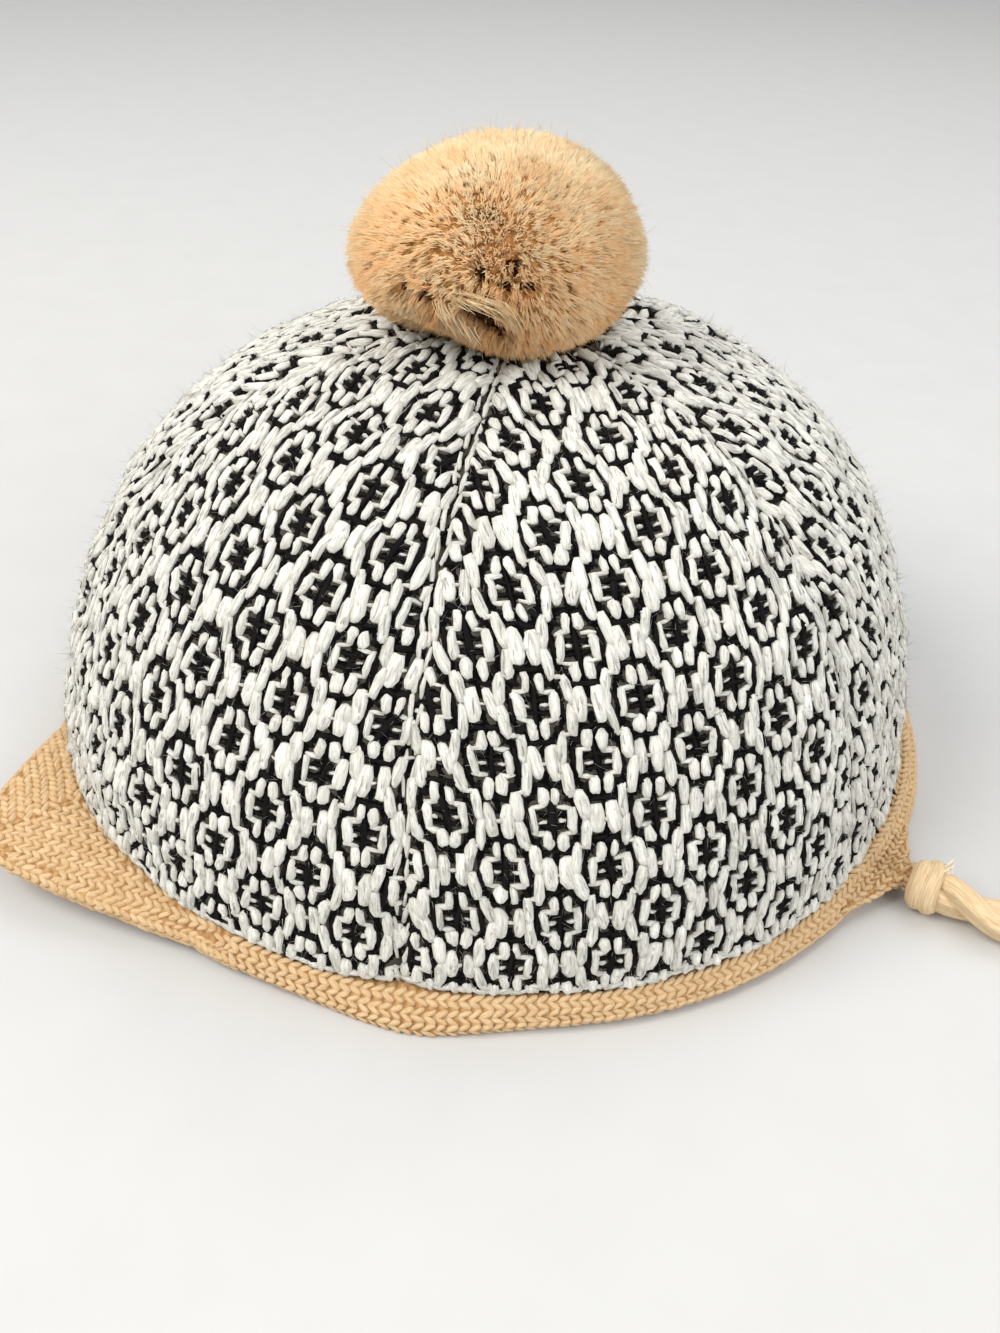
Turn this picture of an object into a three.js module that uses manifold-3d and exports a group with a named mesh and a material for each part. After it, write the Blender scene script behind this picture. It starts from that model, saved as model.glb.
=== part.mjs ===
// Knitted peaked hat with ear tabs, tie cords and a pompom, lying on its rim.
// Millimetres, +Z up, peak towards -Y, wearer's left towards +X, the surface it lies on at z = 0.
// Angles are in degrees round the crown's axis, from the peak (0) towards the wearer's left (90).
import * as THREE from "three";
import { mergeVertices } from "three/addons/utils/BufferGeometryUtils.js";
import Module from "manifold-3d";

// Crown: six gores swept round one profile, given from the rim to the top.
const crownProfile = [
  { height: 5.9, radius: 79.5 },
  { height: 12, radius: 79 },
  { height: 20, radius: 78.1 },
  { height: 31, radius: 75.4 },
  { height: 42, radius: 71 },
  { height: 53, radius: 64.9 },
  { height: 63, radius: 56.4 },
  { height: 71, radius: 46.2 },
  { height: 76.2, radius: 35.2 },
  { height: 79.8, radius: 24.6 },
  { height: 81.3, radius: 12.7 },
  { height: 81.8, radius: 2.6 },
];
const crownWall = 3;
const goreCount = 6;
const goreDeg = 360 / goreCount;
const firstSeamDeg = -13;
const gorePillow = 0.6;
const frontBulge = { depth: 4.9, deg: -4 };
const sideLean = -1.7;
const gathersPerGore = 3;
const gatherDepth = 0.6;
const gatherReach = 40;
const goreColumns = 12;
const goreRows = 12;
const pieceGap = 0.3;

// The rim arches up a little at the front, under the peak, and at the back.
const frontLift = { height: 5, halfDeg: 36 };
const backLift = { height: 2.5, halfDeg: 48 };
const liftShare = 0.16;

// Edge band: closed section, out from the crown's rim radius and up from the rim's lift.
const bandSection = [
  { out: -3.2, up: 5.6 },
  { out: 0.1, up: 5.6 },
  { out: 1.7, up: 3.9 },
  { out: 2.2, up: 1.8 },
  { out: 1.5, up: 0 },
  { out: -2.4, up: 0 },
  { out: -3.3, up: 1.8 },
];
const bandSteps = 72;

// Peak: straight edges in plan that meet in a rounded tip, with a ridge along the middle.
const visorHalfDeg = 28;
const visorTip = 112;
const visorEdgeSlope = 0.97;
const visorTipRound = 9.7;
const visorThickness = 3;
const visorEdgeRise = { side: 1.8, front: 8.2 };
const visorRidge = { height: 1, halfDeg: 7 };
const visorSteps = 24;

// Ear tabs: sections by their share of the way from the band to the tip that the hitch grips.
const tabDeg = 112.5;
const tabTip = 90.3;
const tabSections = [
  { share: 0, halfWidth: 14, middle: 3.1, halfThick: 1.4 },
  { share: 0.14, halfWidth: 9.6, middle: 3.2, halfThick: 1.5 },
  { share: 0.28, halfWidth: 5.8, middle: 3.6, halfThick: 1.5 },
  { share: 0.4, halfWidth: 3.2, middle: 4.2, halfThick: 1.5 },
  { share: 0.5, halfWidth: 2.1, middle: 4.4, halfThick: 1.4 },
  { share: 1, halfWidth: 1.8, middle: 4.4, halfThick: 1.3 },
];
const tabColumns = 8;

// Hitch: two wraps of cord round the tab's tip, as a turned profile with a socket for the tip.
const hitchStart = 86.6;
const hitchProfile = [
  { radius: 0, along: 6.8 },
  { radius: 3.4, along: 6.8 },
  { radius: 4.9, along: 5.9 },
  { radius: 5.2, along: 4.7 },
  { radius: 4.6, along: 3.5 },
  { radius: 5.4, along: 2.2 },
  { radius: 4.9, along: 0.7 },
  { radius: 3.9, along: 0 },
  { radius: 2.6, along: 0 },
  { radius: 2.4, along: 4.2 },
  { radius: 0, along: 4.2 },
];
const hitchFlatten = 0.8;
const hitchHeight = 4.4;
const hitchSides = 14;

// Ties: the left cord's way along the surface, chosen by hand, and mirrored for the right.
const cordDiameter = 7;
const cordSides = 10;
const cordSteps = 34;
const cordRoute = [
  [86.7, 35.9, 4.4],
  [93.5, 38.9, 4.1],
  [99.5, 43.5, 3.8],
  [103, 50, 3.7],
  [103.5, 58, 3.7],
  [100.5, 67, 3.7],
  [94, 75.5, 3.7],
  [86, 82.5, 3.7],
  [78.5, 90, 3.7],
  [73.5, 98.5, 3.7],
  [72.5, 108, 3.7],
  [76.5, 116.5, 3.7],
  [84.5, 122, 3.7],
  [94.5, 123, 3.7],
  [104, 120, 3.7],
  [112, 114, 3.7],
  [118, 106, 3.7],
  [122, 97, 4],
  [124.5, 87.5, 4.7],
  [125.5, 77.5, 5.5],
];

// End of each tie: a knot, then a tuft of frayed yarn in locks.
const knotProfile = [
  { radius: 0, along: 0 },
  { radius: 3.3, along: 0 },
  { radius: 4.9, along: 1.6 },
  { radius: 5.3, along: 4.2 },
  { radius: 4.7, along: 7 },
  { radius: 3.2, along: 8.6 },
  { radius: 2.6, along: 12 },
  { radius: 0, along: 12 },
];
const tuftLocks = 6;
const tuftLock = { start: 7.4, length: 14, root: 1.5, tip: 2, ring: 1.9, spread: 0.1 };

// Pompom: an oblate head with rounded locks of pile all round, cut to sit on the crown.
const pompomCentre = [0.2, -5.7, 95];
const pompomRadius = { across: 24.2, up: 16.6 };
const pompomHeadShare = 0.9;
const pompomLocks = 42;
const pompomLock = { foot: 3, crown: 5.8, sides: 6 };

const wasm = await Module();
wasm.setup();

const radians = THREE.MathUtils.degToRad;
const lerp = THREE.MathUtils.lerp;
const ease = (x) => THREE.MathUtils.smoothstep(x, 0, 1);

function around(deg, radius, z) {
  const a = radians(deg);
  return new THREE.Vector3(radius * Math.sin(a), -radius * Math.cos(a), z);
}

// A signed angle within half a turn of the peak.
function fromPeak(deg) {
  return THREE.MathUtils.euclideanModulo(deg + 180, 360) - 180;
}

// Indexed geometry whose faces point outwards.
function closedGeometry(points, faces) {
  const geometry = new THREE.BufferGeometry().setFromPoints(points);
  let volume = 0;
  for (const [a, b, c] of faces) {
    volume += points[a].dot(new THREE.Vector3().crossVectors(points[b], points[c]));
  }
  geometry.setIndex(faces.flatMap(([a, b, c]) => (volume < 0 ? [a, c, b] : [a, b, c])));
  geometry.computeVertexNormals();
  return geometry;
}

// A shell between two grids of points, closed along its four edges.
function shellGeometry(outer, inner) {
  const rows = outer.length;
  const columns = outer[0].length;
  const points = [...outer.flat(), ...inner.flat()];
  const top = (r, c) => r * columns + c;
  const under = (r, c) => rows * columns + r * columns + c;
  const faces = [];
  const quad = (a, b, c, d) => faces.push([a, b, c], [a, c, d]);
  for (let r = 0; r < rows - 1; r++) {
    for (let c = 0; c < columns - 1; c++) {
      quad(top(r, c), top(r, c + 1), top(r + 1, c + 1), top(r + 1, c));
      quad(under(r, c), under(r + 1, c), under(r + 1, c + 1), under(r, c + 1));
    }
    quad(top(r, 0), top(r + 1, 0), under(r + 1, 0), under(r, 0));
    quad(top(r, columns - 1), under(r, columns - 1), under(r + 1, columns - 1), top(r + 1, columns - 1));
  }
  for (let c = 0; c < columns - 1; c++) {
    quad(top(0, c), under(0, c), under(0, c + 1), top(0, c + 1));
    quad(top(rows - 1, c), top(rows - 1, c + 1), under(rows - 1, c + 1), under(rows - 1, c));
  }
  return closedGeometry(points, faces);
}

// A solid through closed loops of points, capped at both ends.
function loftGeometry(loops) {
  const count = loops[0].length;
  const points = loops.flat();
  const faces = [];
  for (let s = 0; s < loops.length - 1; s++) {
    for (let k = 0; k < count; k++) {
      const next = (k + 1) % count;
      const a = s * count + k;
      const b = s * count + next;
      faces.push([a, b, b + count], [a, b + count, a + count]);
    }
  }
  const cap = (loop, first, turned) => {
    const middle = points.length;
    const centre = new THREE.Vector3();
    loop.forEach((p) => centre.addScaledVector(p, 1 / count));
    points.push(centre);
    for (let k = 0; k < count; k++) {
      const a = first + k;
      const b = first + ((k + 1) % count);
      faces.push(turned ? [middle, b, a] : [middle, a, b]);
    }
  };
  cap(loops[0], 0, true);
  cap(loops.at(-1), (loops.length - 1) * count, false);
  return closedGeometry(points, faces);
}

function toSolid(geometry) {
  const bare = geometry.clone();
  bare.deleteAttribute("normal");
  bare.deleteAttribute("uv");
  const merged = mergeVertices(bare, 1e-3);
  const vertProperties = new Float32Array(merged.attributes.position.array);
  const triVerts = new Uint32Array(merged.index.array);
  return new wasm.Manifold(new wasm.Mesh({ numProp: 3, vertProperties, triVerts }));
}

function toGeometry(solid) {
  const mesh = solid.getMesh();
  const geometry = new THREE.BufferGeometry();
  geometry.setAttribute("position", new THREE.BufferAttribute(mesh.vertProperties, 3));
  geometry.setIndex(new THREE.BufferAttribute(mesh.triVerts, 1));
  geometry.computeVertexNormals();
  return geometry;
}

// A turned shape along +Z from rows of radius and along, facing outwards.
function turned(rows, sides) {
  const profile = rows.map((row) => new THREE.Vector2(row.radius, row.along));
  const rising = profile.at(-1).y > profile[0].y;
  const geometry = new THREE.LatheGeometry(rising ? profile : profile.reverse(), sides);
  return geometry.rotateX(Math.PI / 2);
}

// Turns a shape made along +Z to point along a direction, with its foot at a point.
function aim(geometry, foot, direction) {
  const turn = new THREE.Quaternion().setFromUnitVectors(new THREE.Vector3(0, 0, 1), direction);
  return geometry.applyQuaternion(turn).translate(foot.x, foot.y, foot.z);
}

function rimLift(deg) {
  const turn = Math.abs(fromPeak(deg));
  const front = frontLift.height * ease(1 - turn / frontLift.halfDeg);
  const back = backLift.height * ease(1 - (180 - turn) / backLift.halfDeg);
  return front + back;
}

const profileCurve = new THREE.SplineCurve(crownProfile.map((row) => new THREE.Vector2(row.radius, row.height)));

// A point of the crown at an angle, a share of the way from rim to top, and a depth into the wall.
function crownPoint(deg, share, depth) {
  const at = profileCurve.getPointAt(share);
  const tangent = profileCurve.getTangentAt(share);
  const across = THREE.MathUtils.euclideanModulo((deg - firstSeamDeg) / goreDeg, 1);
  const spread = Math.min(1, at.x / crownProfile[0].radius);
  const pillow = gorePillow * Math.sin(Math.PI * across) ** 2 * spread ** 2;
  const facing = Math.max(0, Math.cos(radians(deg - frontBulge.deg)));
  const bulge = frontBulge.depth * facing ** 4 * (1 - ease(share));
  const near = ease((gatherReach - at.x) / gatherReach) * Math.min(1, at.x / 12);
  const gather = gatherDepth * near * Math.sin(Math.PI * gathersPerGore * across) ** 2;
  const offset = pillow + bulge + gather - depth;
  const lift = rimLift(deg) * Math.max(0, 1 - share / liftShare);
  const point = around(deg, at.x + tangent.y * offset, at.y - tangent.x * offset + lift);
  point.x += sideLean * Math.sin(Math.PI * share);
  return point;
}

function rimRadius(deg) {
  const p = crownPoint(deg, 0, 0);
  return Math.hypot(p.x, p.y);
}

function goreGeometry(index) {
  const start = firstSeamDeg + index * goreDeg;
  const grid = (depth) => {
    const rows = [];
    for (let r = 0; r <= goreRows; r++) {
      const share = r / goreRows;
      const radius = profileCurve.getPointAt(share).x;
      const clear = THREE.MathUtils.radToDeg(pieceGap / 2 / (radius - Math.min(crownWall, radius / 4)));
      const row = [];
      for (let c = 0; c <= goreColumns; c++) {
        const deg = lerp(start + clear, start + goreDeg - clear, c / goreColumns);
        row.push(crownPoint(deg, share, depth));
      }
      rows.push(row);
    }
    return rows;
  };
  return shellGeometry(grid(0), grid(crownWall));
}

function bandLoop(deg) {
  const rim = rimRadius(deg);
  const lift = rimLift(deg);
  return bandSection.map((row) => around(deg, rim + row.out, lift + row.up));
}

function bandGeometry() {
  const clear = THREE.MathUtils.radToDeg(pieceGap / 2 / crownProfile[0].radius);
  const start = visorHalfDeg + clear;
  const end = 360 - visorHalfDeg - clear;
  const loops = [];
  for (let s = 0; s <= bandSteps; s++) {
    loops.push(bandLoop(lerp(start, end, s / bandSteps)));
  }
  return loftGeometry(loops);
}

// How far the peak's edge lies from the axis: two straight edges joined by a rounded tip.
function visorReach(deg) {
  const c = Math.cos(radians(deg));
  const s = visorEdgeSlope * Math.sin(radians(deg));
  const a = c * c - s * s;
  const b = visorTip * c;
  return (b - Math.sqrt(b * b - a * (visorTip ** 2 - visorTipRound ** 2))) / a;
}

function visorLoop(deg) {
  const rim = rimRadius(deg);
  const lift = rimLift(deg);
  const share = ease(1 - Math.abs(deg) / visorHalfDeg);
  const edge = lerp(visorEdgeRise.side, visorEdgeRise.front, share);
  const reach = Math.max(visorReach(deg), rim + bandSection[3].out);
  const ridge = visorRidge.height * ease(1 - Math.abs(deg) / visorRidge.halfDeg);
  const half = visorThickness / 2;
  const root = { top: lift + bandSection[1].up, low: lift + bandSection[4].up };
  const middle = (rim + reach) / 2;
  return [
    around(deg, rim + bandSection[0].out, root.top),
    around(deg, rim + bandSection[1].out, root.top + ridge / 2),
    around(deg, middle, (root.top + edge + half) / 2 + ridge),
    around(deg, reach - half * 0.6, edge + half + ridge / 2),
    around(deg, reach, edge),
    around(deg, reach - half * 0.6, edge - half),
    around(deg, middle, Math.max(root.low, (root.top + edge) / 2 - visorThickness)),
    around(deg, rim + bandSection[4].out - 2, root.low),
    around(deg, rim + bandSection[5].out, root.low),
    around(deg, rim + bandSection[6].out, lift + bandSection[6].up),
  ];
}

function visorGeometry() {
  const loops = [];
  const clear = THREE.MathUtils.radToDeg(pieceGap / 2 / crownProfile[0].radius);
  const half = visorHalfDeg - clear;
  for (let s = 0; s <= visorSteps; s++) {
    loops.push(visorLoop(lerp(-half, half, s / visorSteps)));
  }
  return loftGeometry(loops);
}

// A point by its distance out from the axis along a tab and across it; side is 1 left, -1 right.
function besideTab(side, out, across, z) {
  const a = radians(side * tabDeg);
  const x = out * Math.sin(a) + across * Math.cos(a);
  const y = -out * Math.cos(a) + across * Math.sin(a);
  return new THREE.Vector3(x, y, z);
}

function tabGeometry(side) {
  const bandFace = (across) => {
    const turn = Math.asin(across / crownProfile[0].radius);
    const deg = side * tabDeg + THREE.MathUtils.radToDeg(turn);
    return (rimRadius(deg) + bandSection[3].out) * Math.cos(turn) + pieceGap;
  };
  const grid = (face) =>
    tabSections.map((row) => {
      const line = [];
      for (let c = 0; c <= tabColumns; c++) {
        const across = row.halfWidth * ((2 * c) / tabColumns - 1);
        const round = Math.sqrt(1 - 0.75 * (across / row.halfWidth) ** 2);
        const z = row.middle + face * row.halfThick * round;
        line.push(besideTab(side, lerp(bandFace(across), tabTip, row.share), across, z));
      }
      return line;
    });
  return shellGeometry(grid(1), grid(-1));
}

function hitchGeometry() {
  const geometry = turned(hitchProfile, hitchSides);
  geometry.rotateY(Math.PI / 2);
  geometry.scale(1, 1, hitchFlatten);
  geometry.rotateZ(radians(tabDeg - 90));
  const foot = besideTab(1, hitchStart, 0, hitchHeight);
  return geometry.translate(foot.x, foot.y, foot.z);
}

function circleShape(radius, sides) {
  const points = [];
  for (let k = 0; k < sides; k++) {
    const a = (2 * Math.PI * k) / sides;
    points.push(new THREE.Vector2(radius * Math.cos(a), radius * Math.sin(a)));
  }
  return new THREE.Shape(points);
}

const routeCurve = new THREE.CatmullRomCurve3(cordRoute.map((p) => new THREE.Vector3(...p)));

function cordGeometry() {
  const options = { steps: cordSteps, extrudePath: routeCurve, bevelEnabled: false };
  return new THREE.ExtrudeGeometry(circleShape(cordDiameter / 2, cordSides), options);
}

function tieEndGeometry() {
  let solid = toSolid(turned(knotProfile, 12));
  for (let k = 0; k < tuftLocks; k++) {
    const a = (2 * Math.PI * k) / tuftLocks;
    const ring = k === 0 ? 0 : tuftLock.ring;
    const lean = new THREE.Vector3(Math.cos(a), Math.sin(a), 0).multiplyScalar(k === 0 ? 0 : tuftLock.spread);
    const lock = turned(
      [
        { radius: 0, along: 0 },
        { radius: tuftLock.root, along: 0 },
        { radius: tuftLock.tip, along: tuftLock.length * 0.75 },
        { radius: tuftLock.tip * 0.6, along: tuftLock.length },
        { radius: 0, along: tuftLock.length },
      ],
      6,
    );
    const foot = new THREE.Vector3(ring * Math.cos(a), ring * Math.sin(a), tuftLock.start);
    solid = solid.add(toSolid(aim(lock, foot, lean.add(new THREE.Vector3(0, 0, 1)).normalize())));
  }
  const direction = routeCurve.getTangentAt(1);
  const foot = routeCurve.getPointAt(1).addScaledVector(direction, pieceGap);
  return aim(toGeometry(solid), foot, direction);
}

function pompomGeometry() {
  const flatten = pompomRadius.up / pompomRadius.across;
  const head = new THREE.SphereGeometry(pompomRadius.across * pompomHeadShare, 14, 9);
  let solid = toSolid(head);
  const goldenTurn = Math.PI * (3 - Math.sqrt(5));
  const footAt = pompomRadius.across * 0.55;
  for (let k = 0; k < pompomLocks; k++) {
    const up = 1 - (2 * (k + 0.5)) / pompomLocks;
    const ring = Math.sqrt(1 - up * up);
    const direction = new THREE.Vector3(ring * Math.cos(k * goldenTurn), ring * Math.sin(k * goldenTurn), up);
    const length = pompomRadius.across - footAt;
    const lock = turned(
      [
        { radius: 0, along: 0 },
        { radius: pompomLock.foot, along: 0 },
        { radius: pompomLock.crown, along: length * 0.74 },
        { radius: pompomLock.crown * 0.62, along: length * 0.95 },
        { radius: 0, along: length },
      ],
      pompomLock.sides,
    );
    solid = solid.add(toSolid(aim(lock, direction.clone().multiplyScalar(footAt), direction)));
  }
  const pile = toGeometry(solid).scale(1, 1, flatten).translate(...pompomCentre);
  return toGeometry(toSolid(pile).subtract(toSolid(crownEnvelope())));
}

// The crown's outside as one turned solid, a gap proud of it, to seat the pompom on.
function crownEnvelope() {
  const proud = gorePillow * 0.5 + gatherDepth + pieceGap;
  const low = crownProfile[5].height;
  const rows = [{ radius: 0, along: low }];
  for (const row of crownProfile.slice(5)) {
    rows.push({ radius: row.radius, along: row.height + proud });
  }
  rows.push({ radius: 0, along: crownProfile.at(-1).height + proud });
  return turned(rows, 24);
}

function mirrored(geometry) {
  const copy = geometry.index ? geometry.toNonIndexed() : geometry.clone();
  copy.scale(-1, 1, 1);
  const p = copy.attributes.position;
  const corner = new THREE.Vector3();
  const other = new THREE.Vector3();
  for (let k = 0; k < p.count; k += 3) {
    corner.fromBufferAttribute(p, k + 1);
    other.fromBufferAttribute(p, k + 2);
    p.setXYZ(k + 1, other.x, other.y, other.z);
    p.setXYZ(k + 2, corner.x, corner.y, corner.z);
  }
  copy.computeVertexNormals();
  return copy;
}

// The frame's origin lies midway between the peak's tip and the back of the band.
const frontReach = visorTip - visorTipRound;
let backReach = 0;
for (let deg = 150; deg <= 210; deg++) {
  backReach = Math.max(backReach, -(rimRadius(deg) + bandSection[3].out) * Math.cos(radians(deg)));
}
const centreShift = (frontReach - backReach) / 2;

const wool = (color) => new THREE.MeshStandardMaterial({ color, roughness: 0.95, metalness: 0 });
const hat = new THREE.Group();
hat.position.y = centreShift;

function addPiece(name, geometry, material) {
  const mesh = new THREE.Mesh(geometry, material);
  mesh.name = name;
  hat.add(mesh);
}

const creamAndBlack = wool(0x8f8d84);
const camel = wool(0xcfa873);
const paleCamel = wool(0xe0c393);
const pile = wool(0xc99f68);

for (let k = 0; k < goreCount; k++) {
  addPiece(`crown_panel_${k + 1}`, goreGeometry(k), creamAndBlack);
}
addPiece("edge_band", bandGeometry(), camel);
addPiece("visor", visorGeometry(), camel);
addPiece("ear_tab_left", tabGeometry(1), camel);
addPiece("ear_tab_right", tabGeometry(-1), camel);
addPiece("pompom", pompomGeometry(), pile);

const sidePieces = [
  ["tie_hitch", hitchGeometry(), paleCamel],
  ["tie_cord", cordGeometry(), paleCamel],
  ["tie_end", tieEndGeometry(), paleCamel],
];
for (const [name, geometry, material] of sidePieces) {
  addPiece(`${name}_left`, geometry, material);
  addPiece(`${name}_right`, mirrored(geometry), material);
}

export default hat;
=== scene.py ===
import math

import bpy
import numpy as np
from mathutils import Matrix, Vector


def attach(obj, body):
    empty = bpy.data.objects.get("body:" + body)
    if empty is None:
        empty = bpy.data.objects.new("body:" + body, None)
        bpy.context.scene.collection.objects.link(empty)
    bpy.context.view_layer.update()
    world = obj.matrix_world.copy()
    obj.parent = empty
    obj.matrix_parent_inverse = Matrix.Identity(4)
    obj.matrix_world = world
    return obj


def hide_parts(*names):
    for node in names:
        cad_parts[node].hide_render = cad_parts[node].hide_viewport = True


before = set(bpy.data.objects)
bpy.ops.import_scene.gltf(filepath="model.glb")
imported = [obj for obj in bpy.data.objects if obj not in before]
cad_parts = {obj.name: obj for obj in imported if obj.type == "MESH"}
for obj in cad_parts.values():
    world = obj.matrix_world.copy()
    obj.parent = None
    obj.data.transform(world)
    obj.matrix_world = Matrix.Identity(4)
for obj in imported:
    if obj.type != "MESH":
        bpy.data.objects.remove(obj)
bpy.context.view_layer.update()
mm = 0.001
axisBehind = 10.18  # the crown's axis lies this far behind the origin, mm
fullTurn = 2 * math.pi
rng = np.random.default_rng(41)
scene = bpy.context.scene


def toFrame(points):
    return (np.asarray(points, float) + (0.0, axisBehind, 0.0)) * mm


def unit(v):
    v = np.asarray(v, float)
    return v / np.maximum(np.linalg.norm(v, axis=-1, keepdims=True), 1e-12)


def ease(x):
    x = np.clip(x, 0.0, 1.0)
    return x * x * (3.0 - 2.0 * x)


def around(deg, radius, z):
    a = np.radians(deg)
    return np.stack(np.broadcast_arrays(radius * np.sin(a), -radius * np.cos(a), z), -1)


def arcLength(path):
    return np.concatenate([[0], np.cumsum(np.linalg.norm(np.diff(path, axis=0), axis=1))])


def linear(rgb):
    c = np.asarray(rgb, float) / 255.0
    c = np.where(c <= 0.04045, c / 12.92, ((c + 0.055) / 1.055) ** 2.4)
    return (float(c[0]), float(c[1]), float(c[2]), 1.0)


def addObject(name, data):
    made = bpy.data.objects.new(name, data)
    scene.collection.objects.link(made)
    return made


# camera

photoCamera = {
    "place": (171.5, -111.3, 158.7),
    "forward": (-0.6802, 0.4355, -0.5896),
    "up": (-0.5195, 0.2812, 0.8069),
    "lens": 33.76,  # long side of the picture on a 36 mm sensor
    "sensor": 36.0,
    "clip": (0.01, 20.0),
}


def makeCamera(spec):
    data = bpy.data.cameras.new("photoCamera")
    data.lens = spec["lens"]
    data.sensor_width = spec["sensor"]
    data.clip_start, data.clip_end = spec["clip"]
    camera = addObject("photoCamera", data)
    forward = Vector(spec["forward"]).normalized()
    right = forward.cross(Vector(spec["up"])).normalized()
    up = right.cross(forward)
    turn = Matrix((right, up, -forward)).transposed()
    camera.matrix_world = Matrix.Translation(Vector(toFrame(spec["place"]))) @ turn.to_4x4()
    scene.camera = camera


makeCamera(photoCamera)
print("camera set")


# materials


def feed(tree, node, links):
    for name, source in links:
        if isinstance(source, bpy.types.NodeSocket):
            tree.links.new(source, node.inputs[name])
        else:
            node.inputs[name].default_value = source


def addNode(tree, kind, links=(), **values):
    node = tree.nodes.new(kind)
    for key, value in values.items():
        setattr(node, key, value)
    feed(tree, node, links)
    return node


def calc(tree, operation, *sources):
    return addNode(tree, "ShaderNodeMath", enumerate(sources), operation=operation).outputs[0]


def vector(tree, operation, *sources):
    return addNode(tree, "ShaderNodeVectorMath", enumerate(sources), operation=operation).outputs[0]


def scaled(tree, source, share):
    links = [(0, source), ("Scale", share)]
    return addNode(tree, "ShaderNodeVectorMath", links, operation="SCALE").outputs[0]


def within(tree, value, middle, half):
    return calc(tree, "LESS_THAN", calc(tree, "ABSOLUTE", calc(tree, "SUBTRACT", value, middle)), half)


def stretched(tree, value, low, high):
    links = [("Value", value), ("From Min", low), ("From Max", high)]
    return addNode(tree, "ShaderNodeMapRange", links).outputs[0]


def noise(tree, place, scale, detail, rough=0.5):
    links = [("Scale", scale), ("Detail", detail), ("Roughness", rough)]
    if place is not None:
        links.append(("Vector", place))
    return addNode(tree, "ShaderNodeTexNoise", links).outputs


def centred(tree, colour):
    return vector(tree, "SUBTRACT", colour, (0.5, 0.5, 0.5))


def mixColour(tree, share, low, high):
    return addNode(tree, "ShaderNodeMix", [(0, share), (6, low), (7, high)], data_type="RGBA").outputs[2]


def startMaterial(name):
    material = bpy.data.materials.new(name)
    material.use_nodes = True
    tree = material.node_tree
    tree.nodes.clear()
    shader = addNode(tree, "ShaderNodeBsdfPrincipled")
    addNode(tree, "ShaderNodeOutputMaterial", [(0, shader.outputs[0])])
    return material, tree, shader


def setShader(tree, shader, spec, colour, height, normal=()):
    relief = [("Height", height), ("Strength", spec["bump"]), ("Distance", spec["bumpDepth"] * mm)]
    bump = addNode(tree, "ShaderNodeBump", [*relief, *normal])
    looks = [
        ("Roughness", spec["roughness"]),
        ("Specular IOR Level", spec["shine"]),
        ("Sheen Weight", spec["sheen"]),
        ("Sheen Roughness", 0.55),
        ("Sheen Tint", linear(spec["pale"])),
        ("Base Color", colour),
        ("Normal", bump.outputs[0]),
    ]
    feed(tree, shader, looks)


def roundNormal(tree, spec):
    place = addNode(tree, "ShaderNodeTexCoord").outputs
    apart = vector(tree, "SUBTRACT", place["Object"], tuple(toFrame(spec["centre"])))
    facing = vector(tree, "NORMALIZE", vector(tree, "MULTIPLY", apart, spec["bend"]))
    mixed = vector(tree, "ADD", scaled(tree, facing, spec["share"]), place["Normal"])
    turned = addNode(
        tree,
        "ShaderNodeVectorTransform",
        [("Vector", vector(tree, "NORMALIZE", mixed))],
        vector_type="NORMAL",
        convert_from="OBJECT",
        convert_to="WORLD",
    )
    return turned.outputs[0]


def makeYarn(name, spec):
    material, tree, shader = startMaterial(name)
    tone = addNode(tree, "ShaderNodeAttribute", attribute_name="tone").outputs["Fac"]
    strand = addNode(tree, "ShaderNodeUVMap", uv_map="strand")
    along, across, _ = addNode(tree, "ShaderNodeSeparateXYZ", [("Vector", strand.outputs[0])]).outputs
    axes = zip("XYZ", (along, across, tone), (*spec["fibres"], 43.0))  # the tone tells strands apart
    place = addNode(tree, "ShaderNodeCombineXYZ", [(k, calc(tree, "MULTIPLY", a, by)) for k, a, by in axes])
    fibre = noise(tree, place.outputs[0], 1.0, 3.0, 0.6)["Fac"]
    share, rootShade = spec["fibreShare"], spec.get("rootShade", 0.0)
    lift = calc(tree, "MULTIPLY", tone, 1.0 - share)
    blend = calc(tree, "MULTIPLY_ADD", stretched(tree, fibre, 0.32, 0.68), share, lift)
    # painted shade: colour darker towards the root of each strand
    rooted = calc(tree, "MULTIPLY_ADD", along, rootShade, 1.0 - rootShade)
    shaded = calc(tree, "MULTIPLY", blend, rooted)
    colour = mixColour(tree, shaded, linear(spec["deep"]), linear(spec["pale"]))
    normal = [("Normal", roundNormal(tree, spec["round"]))] if "round" in spec else ()
    setShader(tree, shader, spec, colour, fibre, normal)
    return material


def makeCloth(name, spec):
    material, tree, shader = startMaterial(name)
    place = addNode(tree, "ShaderNodeUVMap", uv_map="cloth").outputs[0]
    split = addNode(tree, "ShaderNodeSeparateXYZ", [("Vector", place)]).outputs
    turns = [calc(tree, "MULTIPLY", split[k], fullTurn / spec["pitch"][k]) for k in (0, 1)]
    loops = calc(tree, "MULTIPLY", *[calc(tree, "SINE", turn) for turn in turns])
    grain = noise(tree, place, 1.6, 4.0, 0.65)["Fac"]
    height = calc(tree, "MULTIPLY_ADD", loops, 0.35, grain)
    share = stretched(tree, height, 0.15, 0.85)
    colour = mixColour(tree, share, linear(spec["deep"]), linear(spec["pale"]))
    setShader(tree, shader, spec, colour, height)
    return material


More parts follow.
